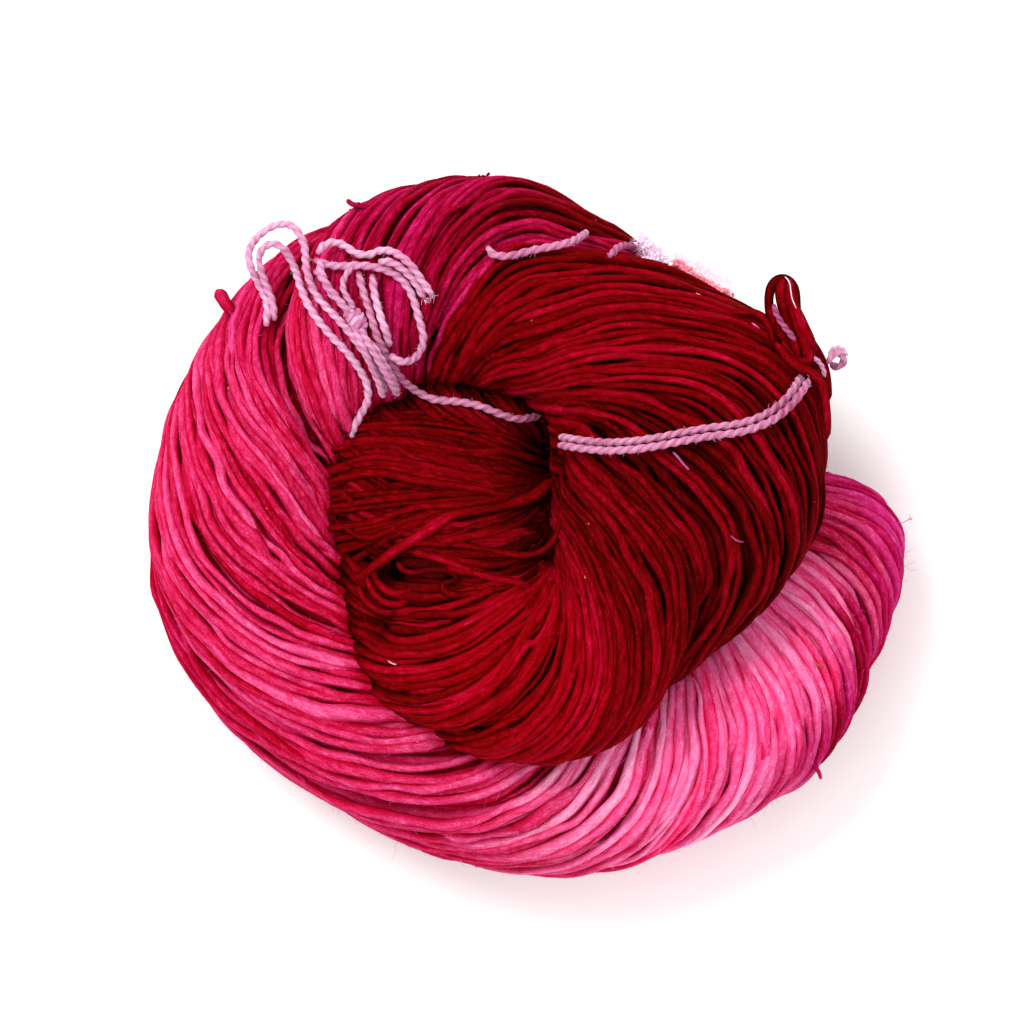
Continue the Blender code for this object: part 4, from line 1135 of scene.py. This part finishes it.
COLOURS = (
    ("plum", "Plum dye", "The bluest wool, at the right tip", (0.42, 0.004, 0.078)),
    ("magenta", "Magenta dye", "Where the dye pooled, at the upper left", (0.24, 0.00024, 0.0176)),
    ("rose", "Rose dye", "Between magenta and pink", (0.408, 0.0032, 0.0464)),
    ("pink", "Pink dye", "Most of the outer turn", (0.488, 0.0096, 0.064)),
    ("blush", "Blush dye", "The palest wool, at the lower right", (0.82, 0.098, 0.285)),
    ("crimson", "Crimson dye", "The inner turn", (0.14, 0.000008, 0.0009)),
    ("scarlet", "Scarlet dye", "The brightest red, at the lower left of the inner turn", (0.185, 0.00001, 0.0013)),
    ("garnet", "Garnet dye", "The darkest crimson, at the inner turn's right and middle", (0.102, 0.000008, 0.0007)),
    ("dusty", "Shaded string", "The threads over the coil, which took up some dye", (0.41, 0.13, 0.235)),
    ("lavender", "String", "The cotton string", (0.51, 0.215, 0.35)),
    ("mauve", "Stained string", "String that took up more dye", (0.272, 0.04, 0.12)),
    ("pale", "Pale fibre", "Loose undyed fibre", (0.95, 0.66, 0.86)),
    ("coral", "Coral fibre", "Loose fibre at the upper right edge", (0.92, 0.16, 0.22)),
    ("straw", "Straw speck", "A speck of straw in the wool", (0.44, 0.304, 0.16)),
    ("orange", "Orange nep", "A few specks in the wool", (0.56, 0.128, 0.024)),
    ("floor", "Floor", "The surface that the hank lies on", (0.96, 0.95, 0.952)),
)


class HankSettings(bpy.types.PropertyGroup):
    """Sizes and colours of the hank."""

    yarn_radius: bpy.props.FloatProperty(
        name="Yarn radius", description="Mean radius of the thick-and-thin yarn", default=0.00123, unit="LENGTH"
    )
    string_radius: bpy.props.FloatProperty(
        name="String radius", description="Radius of the cotton string", default=STRING * MM, unit="LENGTH"
    )
    light: bpy.props.FloatProperty(
        name="Light", description="Strength of the even white light all round", default=1.16, min=0.0
    )
    __annotations__.update(
        {
            key: bpy.props.FloatVectorProperty(
                name=label, description=words, default=value, size=3, min=0.0, max=1.0, subtype="COLOR"
            )
            for key, label, words, value in COLOURS
        }
    )


# ---------------------------------------------------------------- the stage

CAMERA_HEIGHT = 2.7
FRAME_WIDTH = 0.256
FRAME_MIDDLE = (-0.0033, 0.0038)
FRAME_LEVEL = 0.030  # height at which the frame is that wide
SENSOR_WIDTH, SIGHT = 36.0, 20.0  # of the camera: mm, and how many metres it sees
FLOOR_SIZE, FLOOR_ROUGHNESS = 6.0, 0.9
LIGHT_COLOUR = (1.0, 0.985, 0.99, 1.0)  # of the light all round
# Lamps that shine on the hank's middle: name, place and size in metres, and power in watts
LAMPS = (("key", (-0.6, 0.7, 1.2), 0.7, 19.0), ("fill", (0.8, -0.5, 1.2), 1.0, 2.0))
HANK_MIDDLE = (0, 0, 0.03)


class HANK_OT_stage(bpy.types.Operator):
    """Floor, light and the camera straight above"""

    bl_idname = "hank.stage"
    bl_label = "Stage"

    def execute(self, context):
        settings = context.scene.hank_settings
        scene = context.scene
        bpy.ops.mesh.primitive_plane_add(size=FLOOR_SIZE, location=(0, 0, 0))
        floor = context.object
        floor.name = "floor"
        floor.data.materials.append(plain_material("floor_white", settings.floor, FLOOR_ROUGHNESS))
        world = bpy.data.worlds.new("studio")
        scene.world = world
        world.use_nodes = True
        world.node_tree.nodes["Background"].inputs["Color"].default_value = LIGHT_COLOUR
        world.node_tree.nodes["Background"].inputs["Strength"].default_value = settings.light
        for name, place, size, power in LAMPS:
            light = bpy.data.lights.new(name, "AREA")
            light.energy, light.size = power, size
            lamp = bpy.data.objects.new(name, light)
            scene.collection.objects.link(lamp)
            lamp.location = place
            lamp.rotation_euler = (Vector(HANK_MIDDLE) - Vector(place)).to_track_quat("-Z", "Y").to_euler()
        data = bpy.data.cameras.new("camera")
        data.sensor_width = SENSOR_WIDTH
        data.lens = data.sensor_width * (CAMERA_HEIGHT - FRAME_LEVEL) / FRAME_WIDTH
        data.clip_end = SIGHT
        camera = bpy.data.objects.new("camera", data)
        scene.collection.objects.link(camera)
        camera.location = (*FRAME_MIDDLE, CAMERA_HEIGHT)
        scene.camera = camera
        scene.view_settings.view_transform = "Standard"
        return {"FINISHED"}


# ---------------------------------------------------------------- operators

# node, route, colour, what is at the far end of a string that is long enough to be a cord, and which of its ends
# dive between the strands: its first and its last
STRING_ROUTES = (
    ("link_thread", LINK_THREAD, "dusty", "object", (False, True)),
    ("side_strand", SIDE_STRAND, "lavender", None, (False, True)),
    ("short_tail", SHORT_TAIL, "lavender", None, (False, True)),
    ("middle_strand", MIDDLE_STRAND, "lavender", None, (False, False)),
    ("left_loop_inner", LEFT_LOOP_INNER, "lavender", "object", (False, True)),
    ("left_loop_outer", LEFT_LOOP_OUTER, "lavender", "object", (False, True)),
    ("right_loop", RIGHT_LOOP, "lavender", "knot", (False, True)),
    ("lower_end", LOWER_END, "lavender", None, (False, False)),
    ("upper_end", UPPER_END, "lavender", "bare", (False, False)),
    ("band_thread_upper", BAND_THREAD, "dusty", "bare", (True, True)),
    ("band_thread_lower", beside(BAND_THREAD, THREAD_PITCH), "dusty", "bare", (True, True)),
    ("top_thread", TOP_THREAD, "dusty", None, (False, True)),
)
FRAYED = ("upper_end", "lower_end")
DIVING = ("tie_curl_lower", "edge_string")  # loose strands whose last end dives
ROOTED = ("edge_stub", "edge_tail_top", "edge_tail_low")  # and those whose first end does
DIVING_BOTH = ("stray", "bundle")  # beginnings of the names of those of which both do
DIVE, DEEP = 5.0, 2.6  # mm in which a diving end goes down, and how far, of its radius
SUNK = 0.2  # of a loose strand's radius: how near its middle comes to the hank's surface
NOOK_SHADE = 0.9  # painted shade that the nook between two turns, and the fan's crevice, add to the dye's strength


def dive(curve, radius, first, last):
    """The curve with its first or last end, or both, drawn down between the strands under it."""
    curve, way = curve.copy(), along(curve)
    for wanted, distance in ((first, way), (last, way[-1] - way)):
        if wanted:
            curve[:, 2] -= DEEP * radius * (1 - smoothstep(0, DIVE, distance))
    return curve


class HANK_OT_strings(bpy.types.Operator):
    """The cotton string tie with its loops, ends and knot, the threads over the coil and the tie of yarn"""

    bl_idname = "hank.strings"
    bl_label = "Strings"

    def execute(self, context):
        settings = context.scene.hank_settings
        random = np.random.default_rng(SEED + 1)
        strings = Strings()
        radius = settings.string_radius / MM
        made, cords = {}, {}
        for name, route, colour, far_end, diving in STRING_ROUTES:
            curve = dive(strings.lay(route, STRING), radius, *diving)
            piece, path = strand_piece("cotton_" + name, "cotton", curve, radius, getattr(settings, colour), random)
            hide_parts(name)
            made[name] = (piece, path)
            if far_end:
                cords[name] = (piece, path, radius, far_end)
        curve = strings.lay(YARN_TIE_LOOP, YARN)
        piece, path = strand_piece("yarn_tie", "tie", curve, YARN, settings.crimson, random)
        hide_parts("yarn_tie_loop")
        cords["yarn_tie_loop"] = (piece, path, YARN, "object")
        self.knot(strings, settings, radius, random)
        self.fans(strings, settings, random)
        self.loose(strings, settings, random)
        self.fuzz(made, settings, random)
        self.frays(made, settings, random)
        return {"FINISHED"}

    def knot(self, strings, settings, radius, random):
        """Turns of the string round the bundle: a helix on an ellipse, over the bundle itself."""
        long, wide, high = KNOT_HALF
        heading = np.radians(KNOT_HEADING)
        forward = np.array([np.cos(heading), np.sin(heading), 0.0])
        left = np.array([-forward[1], forward[0], 0.0])
        middle = np.array([*KNOT_MIDDLE, strings.knot])
        t = np.linspace(-1, 1, KNOT_TURNS * KNOT_WRAP_POINTS)[:, None]
        turn = t * np.pi * KNOT_TURNS + np.pi / 2
        bulge = 1 + KNOT_BULGE * (1 - t**2)
        sideways, upwards = wide - radius * KNOT_SUNK[0], high - radius * KNOT_SUNK[1]
        size = bulge * (np.cos(turn) * left * sideways + np.sin(turn) * UPWARDS * upwards)
        helix = middle + forward * t * long * KNOT_SPREAD + size
        wraps, _ = strand_piece("cotton_tie_knot", "cotton", helix, radius, settings.lavender, random, forward)
        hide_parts("tie_knot")
        reach, thick = KNOT_BUNDLE
        core = middle + forward * np.linspace(-reach, reach, KNOT_WRAP_POINTS)[:, None] * long
        strand_piece("cotton_tie_bundle", "cotton", core, wide * thick, settings.lavender, random)

    def loose(self, strings, settings, random):
        """Stray strands, ends, scraps and the legs of the ties, sunk a little into what they lie on."""
        for name, kind, radius, colour, route in LOOSE_STRANDS:
            both = name.startswith(DIVING_BOTH)
            curve = strings.lay(route, radius * SUNK)
            curve = dive(curve, radius, both or name in ROOTED, both or name in DIVING)
            strand_piece("loose_" + name, kind, curve, radius, getattr(settings, colour), random)

    def fans(self, strings, settings, random):
        """Strands between each two guides in turn, each a little astray, lying on the hank as one piece."""
        made = []
        for guides, count in FANS:
            guides = np.array(guides)
            for number in range(count):
                at = (number + random.uniform(*FAN_BETWEEN)) / count * (len(guides) - 1)
                low = int(at)
                route = guides[low] * (low + 1 - at) + guides[low + 1] * (at - low)
                route = route + random.normal(size=route.shape) * FAN_ASTRAY
                made.append(self.fan_strand(strings, settings, random, route))
        ring, dye, lie, tuck = (np.stack(parts) for parts in zip(*made))
        tube_mesh("yarn_fans", ring, wool_material(), dye, lie, tuck)

    def fan_strand(self, strings, settings, random, route):
        """Rings, dye, lie and painted shade of one strand of a fan, with more painted shade towards the crevice, where
        both its ends dive.
        """
        radius = FAN_RADIUS * np.exp(random.normal() * FAN_THICK)
        curve = strings.drop(np.column_stack([route, np.zeros(len(route))]), random.uniform(*FAN_HEIGHT))
        curve = dive(curve, radius, True, True)
        curve = smooth_through(curve, np.linspace(0, len(curve) - 1, FAN_RINGS))
        ring, path, lie, tuck = one_ply(curve, radius, random, count=FAN_RINGS)
        # painted shade of the crevice, added to the shade on the strand's lower half
        tuck = tuck + NOOK_SHADE * smoothstep(*FAN_DARK, path[:, :1])
        dye = np.full((*tuck.shape, 4), RESPONSE["crimson"])
        dye[..., :3] = np.asarray(settings.crimson) ** random.uniform(*FAN_DYE)
        return ring, dye, lie, tuck

    def fuzz(self, made, settings, random):
        """Short fibres all along the string."""
        roots, ways = [], []
        for _, path in made.values():
            place = random.integers(1, len(path) - 1, int(along(path)[-1] * FUZZ_PER_MM))
            out = unit(random.normal(size=(len(place), 3)))
            roots.append(path[place] + out * settings.string_radius / MM * HAIR_ROOT)
            ways.append(out + unit(path[place + 1] - path[place - 1]) * random.uniform(-1, 1, (len(place), 1)))
        self.fibres("cotton_fuzz", roots, ways, FUZZ_LENGTH, FUZZ_THICK, settings, random)

    def frays(self, made, settings, random):
        """A few fibres that stand off each cut end of the string."""
        roots, ways = [], []
        for name in FRAYED:
            path = made[name][1]
            roots.append(path[-1] + random.normal(size=(FRAYS, 3)) * FRAY_SPREAD[0])
            ways.append(unit(path[-1] - path[-4]) + random.normal(size=(FRAYS, 3)) * FRAY_SPREAD[1])
        self.fibres("cotton_frays", roots, ways, FRAY_LENGTH, FRAY_THICK, settings, random)

    def fibres(self, name, roots, ways, length, thickness, settings, random):
        """Pale fibres of the string as one piece, each of a random length between the two."""
        roots, ways = np.concatenate(roots), np.concatenate(ways)
        lengths = random.uniform(*length, len(roots))
        colours = np.repeat([tuple(settings.pale)], len(roots), axis=0)
        hairs(name, roots, ways, lengths, thickness, colours, random, "cotton_string")


OUTER_PIECES, OUTER_SIDES, OUTER_EVERY = 3, 7, 1  # of the first layer: pieces, points of a ring, sections a ring
UNDER_SIDES, UNDER_EVERY = 4, 2  # the same of the layer under it, which is one piece
TURN_FLAT = 0.94  # height of a strand, of its width
PATCHES, EACH_DYE, DYE_LIMITS = (40.0, 0.15), 0.12, (-0.55, 0.5)  # of the logarithm of its dye's strength
DYE_SHIFT, EACH_SHIFT = (90.0, 0.12), 0.11  # rows by which its dye comes sooner or later than the rope's
FLANK_SHADE, DEPTH_SHADE, MOST_SHADE = 0.9, 0.5, 1.1  # painted shade on a strand's lower half and on one that lies deep, and the most of the two together
SHADE_DEPTHS = (1.2, 4.2)  # mm under the rope's surface between which the painted shade of a deep strand grows
# painted shade of the wool under the strands: the strength of its dye, and the shade added in the material
CORE_SHADE_STRENGTH, CORE_SHADE = 1.2, 1.2
CORE_LIE = (33.0, 0.8)  # mm that a row and a column of the core are reckoned long for its fibres


class HANK_OT_yarn(bpy.types.Operator):
    """All the turns of yarn that show, side by side over the rope's form, and the wool under them, darkened with
    painted shade
    """

    bl_idname = "hank.yarn"
    bl_label = "Yarn"

    def execute(self, context):
        settings = context.scene.hank_settings
        strands = laid(settings.yarn_radius / MM)
        outer = np.flatnonzero(strands.layer == 0)
        for number, group in enumerate(np.array_split(outer, OUTER_PIECES)):
            piece = self.turns("yarn_turns_%d" % (number + 1), strands, group, OUTER_SIDES, OUTER_EVERY, settings)
            if number == 0:
                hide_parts("hank")
        under = np.flatnonzero(strands.layer == 1)
        self.turns("yarn_under", strands, under, UNDER_SIDES, UNDER_EVERY, settings)
        self.core(settings)
        return {"FINISHED"}

    def turns(self, name, strands, chosen, sides, every, settings):
        """The chosen strands as one piece, with a ring at each so many sections: flattened tubes, patchy with dye,
            with painted shade on their flanks, where they lie deep and in the nooks between two turns of the rope."""
        path, normal, radius, depth, angle, nook = (values[:, ::every] for values in strands.path(chosen))
        rings, turn = rings_round(path, normal, radius, sides, TURN_FLAT)
        rings[..., 2] = np.maximum(rings[..., 2], FLOOR_GAP)
        random = np.random.default_rng(SEED + len(name) + int(chosen[0]))
        count, places = path.shape[:2]
        step = STRAND_STEP * every
        strength = waves(random, count, PATCHES, places, step).T + random.normal(size=(count, 1)) * EACH_DYE
        row = rope().row[::every][None, :] + waves(random, count, DYE_SHIFT, places, step).T
        row = row + random.normal(size=(count, 1)) * EACH_SHIFT
        dye = dye_along(settings, row, angle, np.exp(np.clip(strength, *DYE_LIMITS)))
        dye = np.repeat(dye[:, :, None, :], sides, axis=2)
        tuck = FLANK_SHADE * np.clip(1 - np.sin(turn), 0, 1)[None, None, :]
        tuck = tuck + DEPTH_SHADE * smoothstep(*SHADE_DEPTHS, depth)[:, :, None]
        tuck = np.clip(tuck, 0, MOST_SHADE) + NOOK_SHADE * nook[:, :, None]
        lengths = (np.arange(places) * step)[None, :, None]
        offset = random.uniform(0, FIBRE_START, (count, 1, 1))
        lie = lie_along(lengths + offset, radius[:, :, None], turn[None, None, :] + lengths / FIBRE_TWIST)
        lie[..., 1] += offset
        return tube_mesh(name, rings, wool_material(), dye, lie, tuck)

    def core(self, settings):
        """The rope's form drawn in by CORE_DEPTH, so that no light comes through between the strands, its dye deepened
        as painted shade.
        """
        form = rope()
        drawn = np.minimum(CORE_DEPTH, CORE_SHARE * form.reach)[:, :, None]
        grid = (form.points - form.normal * drawn)[::CORE_EVERY, ::CORE_COLUMNS]
        grid[:, :, 2] = np.maximum(grid[:, :, 2], CORE_FLOOR)
        row, column = np.meshgrid(form.row[::CORE_EVERY], np.arange(0, COLUMNS, CORE_COLUMNS), indexing="ij")
        dye = dye_along(settings, row, column * TAU / COLUMNS, np.full_like(row, CORE_SHADE_STRENGTH))
        lie = np.stack([row * CORE_LIE[0], column * CORE_LIE[1], 0 * row], axis=-1)
        tuck = np.full_like(row, CORE_SHADE)
        tube_mesh("yarn_core", grid[None], wool_material(), dye, lie, tuck)


class HANK_OT_fuzz(bpy.types.Operator):
    """The wool's halo of fine hairs, its neps and the tufts of loose fibre"""

    bl_idname = "hank.fuzz"
    bl_label = "Fuzz"

    def execute(self, context):
        settings = context.scene.hank_settings
        random = np.random.default_rng(SEED + 2)
        strands = laid(settings.yarn_radius / MM)
        self.halo(strands, settings, random)
        self.neps(strands, settings, random)
        self.tufts(settings, random)
        return {"FINISHED"}

    def roots(self, strands, settings, count, random):
        """Random places on the outer side of strands that lie near the surface: the place, the way out there, the
        strand's heading and its dye."""
        chosen = np.flatnonzero(strands.layer == 0)
        middle, outwards, radius, depth, angle, _ = strands.path(chosen)
        heading = unit(np.gradient(middle, axis=1))
        strand = random.integers(0, len(chosen), count * HAIR_TRIES)
        place = random.integers(HAIR_ENDS, SECTIONS - HAIR_ENDS, count * HAIR_TRIES)
        seen = (depth[strand, place] < SHOWN_DEPTH) & (outwards[strand, place, 2] > SEEN_FROM)
        shown = np.flatnonzero(seen)[:count]
        at = (strand[shown], place[shown])
        tilt = random.uniform(-HAIR_TILT, HAIR_TILT, (len(shown), 1))
        side = np.cross(heading[at], outwards[at])
        out = outwards[at] * np.cos(tilt) + side * np.sin(tilt)
        dye = dye_along(settings, rope().row[at[1]], angle[at], np.full(len(shown), HAIR_DYE))[:, :3]
        return middle[at] + out * radius[at][:, None] * HAIR_ROOT, out, heading[at], dye

    def halo(self, strands, settings, random):
        """Short hairs that stand off the yarn, a few of them long."""
        root, out, heading, dye = self.roots(strands, settings, HAIRS, random)
        count = len(root)
        ways = out * random.uniform(*HAIR_OUT, (count, 1))
        ways += heading * random.uniform(-HAIR_ALONG, HAIR_ALONG, (count, 1))
        ways += random.normal(size=(count, 3)) * HAIR_ASTRAY
        lengths = random.uniform(*HAIR_LENGTH, count) + LONG_MORE * (random.random(count) < LONG_HAIRS)
        hairs("yarn_halo", root, ways, lengths, HAIR_THICK, dye, random, "dyed_yarn")

    def neps(self, strands, settings, random):
        """Small knots of fibre on the strands, a few of them orange."""
        root, _, heading, dye = self.roots(strands, settings, NEPS, random)
        dye = dye**NEP_DYE
        dye[: len(root) // ORANGE_NEPS] = tuple(settings.orange)
        neps("yarn_neps", root, heading, random.uniform(*NEP_SIZE, len(root)), dye, "dyed_yarn")

    def tufts(self, settings, random):
        """Loose fibre: hairs round a line, and small clumps along it where the tuft is woolly."""
        hair, clump = [], []
        for first, last, spread, count, length, thickness, way, colour, clumps in TUFTS:
            t = random.random((count + clumps, 1))
            root = np.asarray(first) * (1 - t) + np.asarray(last) * t
            root = root + random.normal(size=root.shape) * spread
            heading = np.asarray(way) + random.normal(size=root.shape)
            size = length * random.uniform(*TUFT_LENGTH, count + clumps)
            dye = np.repeat([tuple(getattr(settings, colour))], len(root), axis=0)
            thick = np.full(count, thickness)
            hair.append((root[:count], heading[:count], size[:count], thick, dye[:count]))
            clump.append((root[count:], heading[count:], size[count:] * CLUMP_SIZE, dye[count:]))
        hairs("yarn_tufts", *(np.concatenate(part) for part in zip(*hair)), random, "dyed_yarn")
        neps("yarn_clumps", *(np.concatenate(part) for part in zip(*clump)), "dyed_yarn")


class HANK_PT_panel(bpy.types.Panel):
    """Lists what the hank is made of"""

    bl_idname = "HANK_PT_panel"
    bl_label = "Hank"
    bl_space_type = "VIEW_3D"
    bl_region_type = "UI"
    bl_category = "Hank"

    def draw(self, context):
        settings = context.scene.hank_settings
        for key in ("yarn_radius", "string_radius", "light", *(entry[0] for entry in COLOURS)):
            self.layout.prop(settings, key)
        for operator in OPERATORS:
            self.layout.operator(operator.bl_idname)


OPERATORS = (HANK_OT_stage, HANK_OT_strings, HANK_OT_yarn, HANK_OT_fuzz)
CLASSES = (HankSettings, *OPERATORS, HANK_PT_panel)


def register():
    """Adds the settings, the operators and the panel."""
    for item in CLASSES:
        bpy.utils.register_class(item)
    bpy.types.Scene.hank_settings = bpy.props.PointerProperty(type=HankSettings)


def unregister():
    """Takes them away again."""
    del bpy.types.Scene.hank_settings
    for item in reversed(CLASSES):
        bpy.utils.unregister_class(item)


def main():
    """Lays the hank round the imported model."""
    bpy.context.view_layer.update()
    register()
    bpy.ops.hank.stage()
    bpy.ops.hank.strings()
    bpy.ops.hank.yarn()
    bpy.ops.hank.fuzz()


if __name__ == "__main__":
    main()
